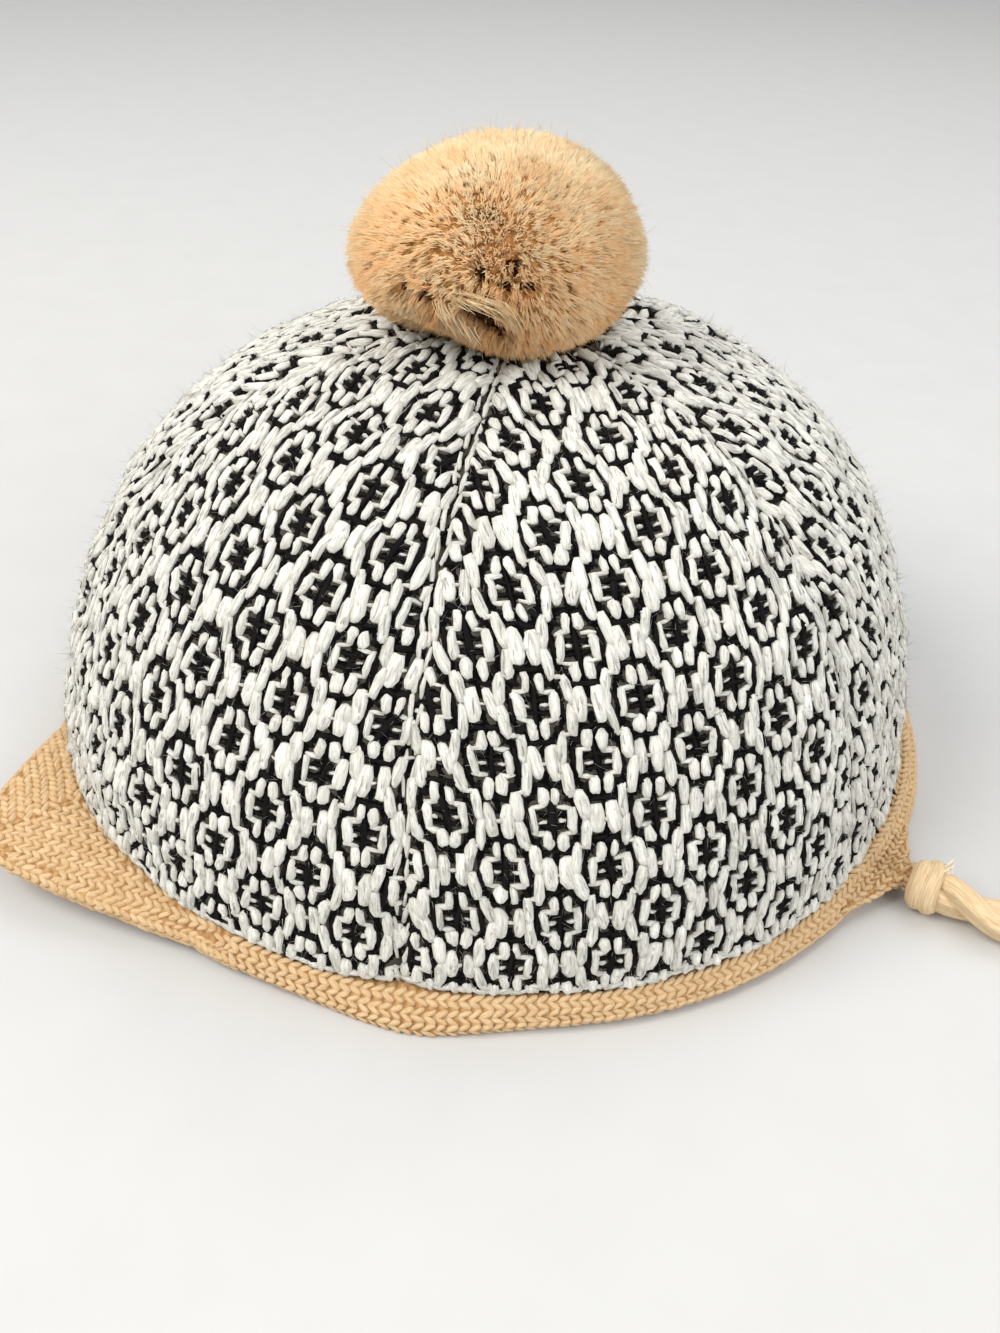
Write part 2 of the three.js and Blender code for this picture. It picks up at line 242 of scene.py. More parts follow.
def makeJacquard(name, spec):
    material, tree, shader = startMaterial(name)
    place = addNode(tree, "ShaderNodeUVMap", uv_map="cloth").outputs[0]
    shift = centred(tree, noise(tree, place, 1.1, 3.0, 0.7)["Color"])
    moved = vector(tree, "MULTIPLY_ADD", shift, (spec["wobble"],) * 3, place)
    x, y, _ = addNode(tree, "ShaderNodeSeparateXYZ", [("Vector", moved)]).outputs
    stripeWidth, halfDrop = repeat["across"] / 2, repeat["along"] / 2
    stripe = calc(tree, "ROUND", calc(tree, "DIVIDE", x, stripeWidth))
    q = calc(tree, "ABSOLUTE", calc(tree, "SUBTRACT", x, calc(tree, "MULTIPLY", stripe, stripeWidth)))
    drop = calc(tree, "MULTIPLY", calc(tree, "PINGPONG", stripe, 1.0), halfDrop)
    p = calc(tree, "PINGPONG", calc(tree, "SUBTRACT", y, drop), halfDrop)
    slant = calc(tree, "MULTIPLY_ADD", q, 0.82, calc(tree, "MULTIPLY", p, 0.571))
    lines = [  # the motif's black lines: middle and half width across, then along or on the slant
        (0.0, 2.05, p, 5.0, 0.6),
        (2.75, 1.0, slant, 4.3, 0.6),
        (stripeWidth / 2, 0.78, p, 0.0, 2.6),
        (stripeWidth / 2, 0.22, p, halfDrop, 2.6),
        (0.0, 0.6, p, 0.0, 4.4),
        (0.0, 2.0, p, 0.85, 0.46),
        (0.0, 0.5, p, 6.3, 1.1),
    ]
    dark = 0.0
    for middle, half, *other in lines:
        line = calc(tree, "MULTIPLY", within(tree, q, middle, half), within(tree, *other))
        dark = calc(tree, "MAXIMUM", dark, line)
    grain = noise(tree, place, 2.2, 4.0, 0.65)["Fac"]
    # dark ground: black yarn, and painted shade between the stitches
    groundWithGapShade = mixColour(tree, grain, linear(spec["deep"]), linear(spec["pale"]))
    colour = mixColour(tree, dark, groundWithGapShade, linear(spec["dark"]))
    setShader(tree, shader, spec, colour, grain)
    return material


repeat = {"across": 15.2, "along": 16.4}  # the knit pattern's repeat, mm
yarnKeys = ("deep", "pale", "fibres", "fibreShare", "roughness", "shine", "sheen", "bump", "bumpDepth")
yarns = {
    "creamYarn": ((188, 184, 171), (251, 249, 240), (2.2, 11.0), 0.72, 0.97, 0.08, 0.3, 0.9, 0.4),
    "blackYarn": ((7, 6, 6), (30, 27, 26), (2.4, 7.0), 0.7, 0.95, 0.12, 0.06, 0.6, 0.2),
    "camelYarn": ((196, 158, 110), (232, 202, 160), (1.8, 10.0), 0.6, 0.96, 0.08, 0.28, 0.8, 0.3),
    "cordYarn": ((200, 168, 124), (238, 216, 178), (0.35, 30.0), 0.85, 0.92, 0.14, 0.3, 0.7, 0.35),
    "pileYarn": ((252, 169, 88), (249, 239, 199), (1.2, 3.0), 0.3, 0.97, 0.05, 0.5, 0.2, 0.1),
    # painted light: frayed ends paler than the cord, standing for light through the fibres
    "litFrayYarn": ((226, 200, 160), (255, 244, 222), (1.2, 3.0), 0.4, 0.95, 0.06, 0.4, 0.2, 0.1),
}
pile = {  # painted shade deeper towards the root, and shaded as one soft ball
    "rootShade": 0.42,
    "round": {"centre": (0.2, -5.7, 78.0), "bend": (1.0, 1.0, 1.2), "share": 3.0},
}
clothKeys = ("deep", "pale", "pitch", "roughness", "shine", "sheen", "bump", "bumpDepth")
cloths = {
    "floatCloth": ((22, 20, 19), (196, 190, 172), (7.5, 1.42), 0.97, 0.08, 0.1, 0.7, 0.4),
    # painted shade: the pompom core is darker than the pile yarn, for the shade deep between the tufts
    "pileShadeCloth": ((176, 122, 70), (226, 176, 116), (2.6, 2.9), 0.97, 0.08, 0.25, 0.9, 0.6),
    # painted shade: near-black brown for the pompom's slits and pits, where shade falls
    "pitShadeCloth": ((52, 28, 20), (104, 66, 40), (2.6, 2.9), 0.98, 0.04, 0.0, 0.9, 0.6),
    "camelCloth": ((150, 110, 68), (198, 156, 106), (1.7, 2.1), 0.96, 0.1, 0.15, 0.7, 0.35),
}
# the ground between the stitches: black yarn, and painted shade in the gaps
jacquard = {
    "deep": (12, 11, 10),
    "pale": (104, 99, 88),
    "dark": (9, 8, 8),
    "wobble": 1.7,
    "roughness": 0.97,
    "shine": 0.08,
    "sheen": 0.1,
    "bump": 0.7,
    "bumpDepth": 0.35,
}
yarnLooks = {name: dict(zip(yarnKeys, row)) for name, row in yarns.items()}
yarnLooks["pileYarn"].update(pile)
clothLooks = {name: dict(zip(clothKeys, row)) for name, row in cloths.items()}
creamYarn, blackYarn, camelYarn, cordYarn, pileYarn, litFrayYarn = (
    makeYarn(*look) for look in yarnLooks.items()
)
jacquardCloth = makeJacquard("jacquardCloth", jacquard)
floatCloth, pileShadeCloth, pitShadeCloth, camelCloth = (makeCloth(*look) for look in clothLooks.items())
print("materials made")


# mesh helpers


def setUvs(mesh, name, uvs):
    layer = mesh.uv_layers.new(name=name)
    corner = np.empty(len(mesh.loops), np.int32)
    mesh.loops.foreach_get("vertex_index", corner)
    layer.data.foreach_set("uv", np.asarray(uvs, np.float32)[corner].ravel())


def meshPiece(name, points, faces, materials, uvName=None, uvs=None, faceMaterial=None):
    mesh = bpy.data.meshes.new(name)
    mesh.from_pydata(toFrame(points).tolist(), [], [list(f) for f in faces], shade_flat=False)
    if uvName:
        setUvs(mesh, uvName, uvs)
    for material in materials:
        mesh.materials.append(material)
    if faceMaterial is not None:
        mesh.polygons.foreach_set("material_index", np.asarray(faceMaterial, np.int32))
    mesh.validate()
    mesh.update()
    return addObject(name, mesh)


def settle(piece, nodes=()):
    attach(piece, "root")
    if nodes:
        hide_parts(*nodes)
    return piece


def gridFaces(rows, columns, first=0, flip=False):
    r, c = np.meshgrid(np.arange(rows - 1), np.arange(columns - 1), indexing="ij")
    a = (first + r * columns + c).ravel()
    quads = np.stack([a, a + 1, a + columns + 1, a + columns], 1)
    return quads[:, ::-1] if flip else quads


def sheetFaces(rows, columns):  # two grids and the four edges between them
    count = rows * columns
    faces = [gridFaces(rows, columns, 0, True), gridFaces(rows, columns, count)]
    across, down = np.arange(columns), np.arange(rows) * columns
    for edge in (across, across[::-1] + (rows - 1) * columns, down[::-1], down + columns - 1):
        faces.append(np.stack([edge[:-1], edge[1:], edge[1:] + count, edge[:-1] + count], 1))
    return [tuple(int(i) for i in f) for f in np.concatenate(faces)]


def loftFaces(loops, count):
    faces = []
    for s in range(loops - 1):
        for k in range(count):
            n = (k + 1) % count
            faces.append((s * count + k, s * count + n, (s + 1) * count + n, (s + 1) * count + k))
    faces.append(tuple(range(count))[::-1])
    faces.append(tuple((loops - 1) * count + k for k in range(count)))
    return faces


def outward(points, faces):
    p = np.asarray(points, float)
    volume = 0.0
    for f in faces:
        for k in range(1, len(f) - 1):
            volume += np.dot(p[f[0]], np.cross(p[f[k]], p[f[k + 1]]))
    return [tuple(f)[::-1] for f in faces] if volume < 0 else faces


def smoothLoop(loop, times):
    for _ in range(times):
        after = np.roll(loop, -1, axis=0)
        pair = [0.75 * loop + 0.25 * after, 0.25 * loop + 0.75 * after]
        loop = np.stack(pair, 1).reshape(-1, loop.shape[1])
    return loop


def smoothPath(points, spacing):
    p = np.asarray(points, float)
    p = np.concatenate([2 * p[:1] - p[1:2], p, 2 * p[-1:] - p[-2:-1]])
    t = np.linspace(0, 1, 24, endpoint=False)[:, None]
    out = []
    for a, b, c, d in zip(p, p[1:], p[2:], p[3:]):
        cubic = (2 * a - 5 * b + 4 * c - d) * t**2 + (3 * b - a - 3 * c + d) * t**3
        out.append(0.5 * (2 * b + (c - a) * t + cubic))
    out = np.concatenate(out + [p[-2:-1]])
    arc = arcLength(out)
    steps = np.linspace(0, arc[-1], max(3, int(arc[-1] / spacing) + 1))
    return np.stack(alongCurve(out.T, arc, steps), 1)


def alongCurve(values, arc, steps):
    return [np.interp(steps, arc, v) for v in values]


def carriedFrames(path):
    tangent = unit(np.gradient(path, axis=0))
    side = np.cross(tangent[0], (0.0, 0.0, 1.0))
    if np.linalg.norm(side) < 0.1:
        side = np.cross(tangent[0], (1.0, 0.0, 0.0))
    sides = []
    for t in tangent:
        side = side - t * np.dot(side, t)
        side = side / np.linalg.norm(side)
        sides.append(side)
    sides = np.array(sides)
    return sides, np.cross(tangent, sides)


def tube(path, radius, sides):
    across, up = carriedFrames(path)
    radius = np.broadcast_to(radius, len(path))
    a = np.linspace(0, fullTurn, sides, endpoint=False)
    ring = across[:, None] * np.cos(a)[None, :, None] + up[:, None] * np.sin(a)[None, :, None]
    points = (path[:, None] + ring * radius[:, None, None]).reshape(-1, 3)
    uvs = np.stack(np.broadcast_arrays(arcLength(path)[:, None], (a / fullTurn)[None]), -1).reshape(-1, 2)
    return points, outward(points, loftFaces(len(path), sides)), uvs


def joinParts(parts):
    points, faces, uvs, first = [], [], [], 0
    for p, f, u in parts:
        points.append(p)
        uvs.append(u)
        faces += [tuple(int(i) + first for i in face) for face in f]
        first += len(p)
    return np.concatenate(points), faces, np.concatenate(uvs)


# yarn fields: small strand shapes set on points by a node tree


def makeYarnField():
    tree = bpy.data.node_groups.new("yarnField", "GeometryNodeTree")
    for name, kind in (
        ("Points", "NodeSocketGeometry"),
        ("Strand", "NodeSocketObject"),
        ("Finish", "NodeSocketMaterial"),
        ("Size jitter", "NodeSocketFloat"),
        ("Ruffle", "NodeSocketFloat"),
        ("Seed", "NodeSocketInt"),
    ):
        tree.interface.new_socket(name=name, in_out="INPUT", socket_type=kind)
    tree.interface.new_socket(name="Mesh", in_out="OUTPUT", socket_type="NodeSocketGeometry")
    given = addNode(tree, "NodeGroupInput").outputs
    strand = addNode(tree, "GeometryNodeObjectInfo", [("Object", given["Strand"])])
    turn, size = (
        addNode(tree, "GeometryNodeInputNamedAttribute", [("Name", key)], data_type="FLOAT_VECTOR").outputs[0]
        for key in ("turn", "size")
    )
    limits = [(2, -1.0), (3, 1.0), ("Seed", given["Seed"])]
    vary = addNode(tree, "FunctionNodeRandomValue", limits, data_type="FLOAT").outputs[1]
    swell = calc(tree, "MULTIPLY_ADD", vary, given["Size jitter"], 1.0)
    placing = [
        ("Points", given["Points"]),
        ("Instance", strand.outputs["Geometry"]),
        ("Rotation", turn),
        ("Scale", scaled(tree, size, swell)),
    ]
    placed = addNode(tree, "GeometryNodeInstanceOnPoints", placing)
    real = addNode(tree, "GeometryNodeRealizeInstances", [("Geometry", placed.outputs[0])])
    offset = scaled(tree, centred(tree, noise(tree, None, 800.0, 1.0)["Color"]), given["Ruffle"])
    ragged = addNode(tree, "GeometryNodeSetPosition", [("Geometry", real.outputs[0]), ("Offset", offset)])
    finish = [("Geometry", ragged.outputs[0]), ("Material", given["Finish"])]
    dressed = addNode(tree, "GeometryNodeSetMaterial", finish)
    addNode(tree, "NodeGroupOutput", [(0, dressed.outputs[0])])
    return tree


yarnField = makeYarnField()
fieldKeys = {i.name: i.identifier for i in yarnField.interface.items_tree if i.in_out == "INPUT"}


def eulerOf(x, y, z):
    turns = [np.arctan2(y[:, 2], z[:, 2]), -np.arcsin(np.clip(x[:, 2], -1, 1)), np.arctan2(x[:, 1], x[:, 0])]
    return np.stack(turns, 1)


def addField(name, slot, strand, material, points, along, normal, size, tone, ruffle, seed):
    y = unit(along)
    x = unit(np.cross(y, normal))
    z = np.cross(x, y)
    mesh = bpy.data.meshes.new(name)
    mesh.from_pydata(toFrame(points).tolist(), [], [])
    for key, kind, field, values in (
        ("turn", "FLOAT_VECTOR", "vector", eulerOf(x, y, z)),
        ("size", "FLOAT_VECTOR", "vector", np.asarray(size) * mm),
        ("tone", "FLOAT", "value", np.asarray(tone)),
    ):
        made = mesh.attributes.new(key, kind, "POINT")
        made.data.foreach_set(field, values.astype(np.float32).ravel())
    piece = addObject(name, mesh)
    nodes = piece.modifiers.new("yarn", "NODES")
    nodes.node_group = yarnField
    nodes[fieldKeys["Strand"]] = strand
    nodes[fieldKeys["Finish"]] = material
    nodes[fieldKeys["Size jitter"]] = 0.05
    nodes[fieldKeys["Ruffle"]] = ruffle * mm
    nodes[fieldKeys["Seed"]] = seed
    graph = bpy.context.evaluated_depsgraph_get()
    made = bpy.data.meshes.new_from_object(piece.evaluated_get(graph), depsgraph=graph)
    piece.modifiers.clear()
    piece.data = made
    bpy.data.meshes.remove(mesh)
    for key in ("turn", "size"):
        if key in made.attributes:
            made.attributes.remove(made.attributes[key])
    made.shade_smooth()
    return settle(piece)


def thinSize(thick, length):
    return np.stack([np.full(len(length), thick), length, np.full(len(length), thick)], 1)


strandShapes = []


def strandShape(name, points, faces, uvs):
    mesh = bpy.data.meshes.new(name)
    faces = [list(f) for f in outward(points, faces)]
    mesh.from_pydata(np.asarray(points).tolist(), [], faces, shade_flat=False)
    setUvs(mesh, "strand", uvs)
    strandShapes.append(addObject(name, mesh))
    return strandShapes[-1]


def plumpShape(name, stations, sides):
    angles = np.radians(np.linspace(-25, 205, sides))
    points, uvs = [(0.0, -0.5, 0.0)], [(-0.5, 0.5)]
    for along, width in stations:
        for k, a in enumerate(angles):
            points.append((0.5 * width * math.cos(a), along, 0.5 * width**0.8 * math.sin(a)))
            uvs.append((along, k / (sides - 1)))
    points.append((0.0, 0.5, 0.0))
    uvs.append((0.5, 0.5))
    last = 1 + (len(stations) - 1) * sides
    faces = [tuple(1 + i for i in f) for f in loftFaces(len(stations), sides)[:-2]]
    for k in range(sides):
        n = (k + 1) % sides
        faces.append((0, 1 + n, 1 + k))
        faces.append((len(points) - 1, last + k, last + n))
    return strandShape(name, points, faces, uvs)


def hairShape(name, steps, sides, bend, taper):
    points, uvs = [], []
    for s in range(steps + 1):
        t = s / steps
        radius = 0.5 * (1 - taper * t)
        for k in range(sides):
            a = fullTurn * k / sides
            points.append((radius * math.cos(a), t, radius * math.sin(a) + bend * t * t))
            uvs.append((t, k / sides))
    return strandShape(name, points, loftFaces(steps + 1, sides), uvs)


def spikeShape(name):
    ring = [(0.5 * math.cos(a), 0.0, 0.5 * math.sin(a)) for a in (0.5, 2.6, 4.7)]
    faces = [(0, 1, 2), (0, 3, 1), (1, 3, 2), (2, 3, 0)]
    uvs = [(0.0, 0.0), (0.0, 0.4), (0.0, 0.8), (1.0, 0.5)]
    return strandShape(name, ring + [(0.0, 1.0, 0.0)], faces, uvs)


plump = plumpShape("plump", [(-0.45, 0.6), (-0.23, 0.96), (0.18, 1.0), (0.45, 0.68)], 6)
slim = plumpShape("slim", [(-0.4, 0.66), (0.0, 1.0), (0.4, 0.66)], 4)
spike = spikeShape("spike")
frayHair = hairShape("frayHair", 4, 3, 0.5, 0.3)
looseHair = hairShape("looseHair", 2, 3, 16.0, 0.6)
print("strand shapes made")


# crown

crown = {
    "rows": [
        (79.5, 5.9), (79.0, 12.0), (78.1, 20.0), (75.4, 31.0), (71.0, 42.0), (64.9, 53.0),
        (56.4, 63.0), (46.2, 71.0), (35.2, 76.2), (24.6, 79.8), (12.7, 81.3), (2.6, 81.8),
    ],  # radius and height, from the rim to the top
    "rim": 79.5,
    "firstSeam": -13.0,
    "goreDeg": 60.0,
    "pillow": 0.6,
    "bulge": 4.9,
    "bulgeDeg": -4.0,
    "lean": -1.7,
    "gather": 0.9,
    "gathers": 3,
    "gatherRing": (40, 12),  # radii between which the top is gathered
    "groove": 1.0,
    "grooveWidth": 2.2,
    "grooveEnd": 16,
    "ripple": 0.35,
    "wall": 2.8,
    "innerRelief": 0.4,
    "frontLift": (5.0, 44.0),
    "backLift": (2.5, 48.0),
    "liftShare": 0.16,
    "tuck": (3.0, 95.0, 30.0, 0.5),  # how far sides and back draw in, from which angle, how wide, how high
    "tuckRim": (0.26, 0.06),  # how much of it is let out again at the rim
}


def crownCurve(rows):
    path = smoothPath([(r, z, 0.0) for r, z in rows], 0.5)[:, :2]
    arc = arcLength(path)
    slope = unit(np.gradient(path, axis=0))
    fromTop = arc[-1] - arc + rows[-1][0]
    return [a[::-1] for a in (fromTop, path[:, 0], path[:, 1], slope[:, 0], slope[:, 1])]


curveArc, curveRadius, curveHeight, curveRun, curveRise = crownCurve(crown["rows"])
rimArc = curveArc[-1]
topArc = curveArc[0]


def fromFront(deg):
    return np.abs((np.asarray(deg, float) + 180) % 360 - 180)


def goreStart(index):
    return crown["firstSeam"] + crown["goreDeg"] * index


def radiusAt(v):
    return np.interp(v, curveArc, curveRadius)


def rimLift(deg):
    turn = fromFront(deg)
    front, back = crown["frontLift"], crown["backLift"]
    return front[0] * ease(1 - turn / front[1]) + back[0] * ease(1 - (180 - turn) / back[1])


def crownPoint(deg, v, depth=0.0, relief=1.0):
    deg, v = np.broadcast_arrays(np.asarray(deg, float), np.asarray(v, float))
    radius, height, run, rise = alongCurve((curveRadius, curveHeight, curveRun, curveRise), curveArc, v)
    share = 1 - (v - topArc) / (rimArc - topArc)
    across = ((deg - crown["firstSeam"]) / crown["goreDeg"]) % 1
    offset = crown["pillow"] * np.sin(math.pi * across) ** 2 * np.minimum(1, radius / crown["rim"]) ** 2
    facing = np.maximum(0, np.cos(np.radians(deg - crown["bulgeDeg"])))
    offset = offset + crown["bulge"] * facing**4 * (1 - ease(share))
    outer, inner = crown["gatherRing"]
    near = ease((outer - radius) / outer) * np.minimum(1, radius / inner)
    offset = offset + crown["gather"] * near * np.sin(math.pi * crown["gathers"] * across) ** 2 * relief
    toSeam = np.radians(crown["goreDeg"]) * radius * np.minimum(across, 1 - across)
    groove = relief * crown["groove"] * np.exp(-((toSeam / crown["grooveWidth"]) ** 2))
    offset = offset - groove * ease(radius / crown["grooveEnd"])
    amount, first, wide, reach = crown["tuck"]
    eased, low = crown["tuckRim"]
    drawn = amount * ease((fromFront(deg) - first) / wide) * (1 - ease(share / reach))
    drawn = drawn * (1 - eased + eased * ease(share / low))
    offset = offset - drawn * (relief > 0)
    ripple = np.sin(0.31 * v + 0.21 * deg) * np.sin(0.17 * v - 0.16 * deg)
    offset = offset + relief * crown["ripple"] * ripple - depth
    lift = rimLift(deg) * np.maximum(0, 1 - share / crown["liftShare"])
    point = around(deg, radius + rise * offset, height - run * offset + lift)
    point[..., 0] += crown["lean"] * np.sin(math.pi * share)
    return point


def crownAcross(deg, v):
    return unit(crownPoint(deg + 0.3, v) - crownPoint(deg - 0.3, v))


def crownNormal(deg, v):
    return unit(crownPoint(deg, v, -1.0) - crownPoint(deg, v, 0.0))


def rimRadius(deg):
    p = crownPoint(deg, rimArc, 0.0, 0.0)
    return np.hypot(p[..., 0], p[..., 1])


def clothPoint(meridian, u, v, depth=0.0):
    return crownPoint(meridian + np.degrees(u / radiusAt(v)), v, depth)


shell = {"columns": 32, "rows": 68}
goreLattice = [  # meridian in degrees, first motif's place across and from the top
    (28.9, 2.9, 82.4),
    (81.4, 7.3, 77.4),
    (135.7, 7.6, 83.5),
    (203.0, -6.4, 61.5),
    (262.0, 4.8, 55.3),
    (322.0, -2.6, 60.1),
]


def makeGoreShell(index):
    columns, rows = shell["columns"] + 1, shell["rows"] + 1
    v, s = np.meshgrid(np.linspace(topArc, rimArc, rows), np.linspace(0, 1, columns), indexing="ij")
    deg = goreStart(index) + crown["goreDeg"] * s
    sheets = [crownPoint(deg, v), crownPoint(deg, v, crown["wall"], crown["innerRelief"])]
    points = np.concatenate([sheet.reshape(-1, 3) for sheet in sheets])
    faces = outward(points, sheetFaces(rows, columns))
    quads = shell["rows"] * shell["columns"]
    kinds = np.zeros(len(faces))
    kinds[quads : 2 * quads] = 1  # the inside
    meridian, firstU, firstV = goreLattice[index]
    u = np.radians(deg - meridian) * radiusAt(v)
    cloth = np.tile(np.stack([u - firstU, v - firstV], -1).reshape(-1, 2), (2, 1))
    name = f"crownShell{index + 1}"
    piece = meshPiece(name, points, faces, [jacquardCloth, floatCloth], "cloth", cloth, kinds)
    settle(piece, [f"crown_panel_{index + 1}"])


for gore in range(6):
    makeGoreShell(gore)
print("crown shells made")


# the knit pattern: one small motif, charted, in a half-drop repeat

creamChart = [  # across, along, width, length, lean in degrees; each is set on both sides of the motif
    (0.96, -3.3, 1.52, 2.95, -4.0),
    (0.99, 3.35, 1.68, 3.05, 3.0),
    (1.32, 8.2, 2.25, 5.3, 0.0),
    (2.58, 0.0, 1.52, 4.4, 0.0),
    (2.9, 5.95, 1.82, 5.2, 7.0),
    (2.9, 10.45, 1.82, 5.2, -7.0),
]
barChart = [
    (1.85, -1.95, 0.88, 2.5, -88.0),
    (1.85, 1.95, 0.88, 2.5, 88.0),
    (3.8, 4.1, 0.8, 2.4, 90.0),
    (1.4, 0.0, 0.6, 1.3, 90.0),
    (0.0, 8.2, 0.55, 1.4, 90.0),
]
blackChart = [
    (1.0, -5.0, 1.1, 2.6, 86.0),
    (1.0, 5.05, 1.1, 2.6, 94.0),
    (2.75, -3.6, 1.1, 2.5, 40.0),
    (2.75, 3.65, 1.1, 2.5, -40.0),
    (3.52, 0.0, 1.0, 5.0, 0.0),
    (0.98, -0.85, 0.75, 2.3, 84.0),
    (0.98, 0.85, 0.75, 2.3, -84.0),
    (0.0, 0.0, 1.05, 7.4, 0.0),
]
knit = {"top": 15, "stripes": range(-9, 10), "rows": range(-5, 7), "step": 0.4, "upright": 30}


def chartPlaces(index, chart, room):
    meridian, firstU, firstV = goreLattice[index]
    found = []
    for stripe in knit["stripes"]:
        baseU = firstU + stripe * repeat["across"] / 2
        baseV = firstV + (stripe % 2) * repeat["along"] / 2
        for row in knit["rows"]:
            rowV = baseV + row * repeat["along"]
            for across, along, width, length, lean in chart:
                for side in (1, -1) if across else (1,):
                    found.append((baseU + side * across, rowV + along, width, length, side * lean))
    found = np.array(found)
    v, length = found[:, 1], found[:, 3]
    found = found[(v > knit["top"]) & (v < rimArc + 0.2 * length - 0.6)]
    radius = radiusAt(found[:, 1])
    deg = meridian + np.degrees(found[:, 0] / radius)
    start = goreStart(index)
    toEdge = np.minimum(deg - start, start + crown["goreDeg"] - deg)
    return found[np.radians(toEdge) * radius > room], meridian


def addChart(index, name, chart, shape, material, room, height, sway, ruffle):
    places, meridian = chartPlaces(index, chart, room)
    count = len(places)
    u = places[:, 0] + rng.normal(0, 0.09, count)
    v = places[:, 1] + rng.normal(0, 0.12, count)
    step = knit["step"]
    along = unit(clothPoint(meridian, u, v - step) - clothPoint(meridian, u, v + step))
    across = unit(clothPoint(meridian, u + step, v) - clothPoint(meridian, u - step, v))
    normal = unit(np.cross(across, along))
    lean = np.radians(places[:, 4] + rng.normal(0, sway, count))
    direction = along * np.cos(lean)[:, None] + across * np.sin(lean)[:, None]
    width = places[:, 2] * np.clip(rng.normal(1, 0.12, count), 0.75, 1.3)
    length = places[:, 3] * rng.normal(1, 0.05, count)
    tone = rng.uniform(0.3, 1, count)
    upper, lower = v - length / 2, np.minimum(v + length / 2, rimArc + 0.1)
    upright = np.abs(places[:, 4]) < knit["upright"]
    length = np.where(upright, lower - upper, length)
    v = np.where(upright, (lower + upper) / 2, v)
    size = np.stack([width, length, height * rng.normal(1, 0.08, count)], 1)
    points = clothPoint(meridian, u, v, 0.05)
    name = f"{name}{index + 1}"
    addField(name, "jacquard_wool", shape, material, points, direction, normal, size, tone, ruffle, index)
    return points + normal * (0.45 * height), direction, normal, length


fibre = {"perStitch": 3, "longer": 4.6, "length": 3.2, "thick": 0.13, "sway": 9.0}


def addFibres(index, points, direction, normal, length):
    pick = np.repeat(np.nonzero(length > fibre["longer"])[0], fibre["perStitch"])
    count = len(pick)
    across = np.cross(direction, normal)[pick]
    lean = np.radians(rng.normal(0, fibre["sway"], count))[:, None]
    rise = normal[pick] * rng.normal(0.02, 0.08, (count, 1))
    along = direction[pick] * np.cos(lean) + across * np.sin(lean) + rise
    along = along * rng.choice([-1.0, 1.0], (count, 1))
    reach = fibre["length"] * rng.uniform(0.5, 1.2, count)
    beside = points[pick] + across * rng.normal(0, 0.4, (count, 1))
    start = beside - along * (reach * rng.uniform(0.3, 0.7, count))[:, None]
    size = thinSize(fibre["thick"], reach)
    tone = rng.uniform(0.4, 1, count)
    name = f"crownFibres{index + 1}"
    addField(name, "jacquard_wool", spike, creamYarn, start, along, normal[pick], size, tone, 0.5, index)


seam = {"from": 17.0, "pitch": 3.9, "apart": 0.75, "height": 1.25}


def addSeam(index):
    place = np.repeat(np.arange(seam["from"], rimArc - 1.0, seam["pitch"]), 2)
    count = len(place)
    side = np.tile((-1, 1), count // 2)
    deg = goreStart(index) + np.degrees(side * seam["apart"] / radiusAt(place))
    v = place + 0.5 * side + rng.normal(0, 0.3, count)
    along = unit(crownPoint(deg, v - 0.4) - crownPoint(deg, v + 0.4))
    across = crownAcross(deg, v)
    normal = unit(np.cross(across, along))
    along = along + across * (side * 0.12 + rng.normal(0, 0.08, count))[:, None]
    width, length = rng.uniform(0.8, 1.3, count), rng.uniform(3.6, 4.8, count)
    size = np.stack([width, length, np.full(count, seam["height"])], 1)
    tone = rng.uniform(0, 0.8, count)
    points, name = crownPoint(deg, v), f"crownSeam{index + 1}"
    addField(name, "jacquard_wool", slim, creamYarn, points, along, normal, size, tone, 0.8, 4)


rimRow = {"pitchDeg": 1.5, "inset": 0.8, "size": (1.3, 2.9, 1.3)}  # closes the crown's lower edge


def addRimRow():
    deg = np.arange(0.0, 360.0, rimRow["pitchDeg"])
    count = len(deg)
    v = rimArc - rimRow["inset"] + rng.normal(0, 0.15, count)
    normal = crownNormal(deg, v)
    along = crownAcross(deg, v) + rng.normal(0, 0.12, (count, 3))
    size = np.array(rimRow["size"]) * rng.normal(1, 0.1, (count, 3))
    tone = rng.uniform(0, 0.6, count)
    points = crownPoint(deg, v)
    addField("crownRimRow", "jacquard_wool", slim, creamYarn, points, along, normal, size, tone, 0.8, 4)


stitches = 0
for gore in range(6):
    cream = addChart(gore, "crownCream", creamChart, plump, creamYarn, 0.3, 1.6, 5.0, 1.1)
    bars = addChart(gore, "crownBars", barChart, slim, creamYarn, 0.3, 1.3, 6.0, 0.9)
    black = addChart(gore, "crownBlack", blackChart, slim, blackYarn, 0.4, 0.85, 9.0, 1.1)
    addFibres(gore, *cream)
    addSeam(gore)
    stitches += len(cream[0]) + len(bars[0]) + len(black[0])
addRimRow()
print("crown pattern made:", stitches, "stitches")


# edge band


def loftPiece(name, points, loops, cloth, node):
    faces = outward(points, loftFaces(loops, len(points) // loops))
    settle(meshPiece(name, points, faces, [camelCloth], "cloth", cloth), [node])


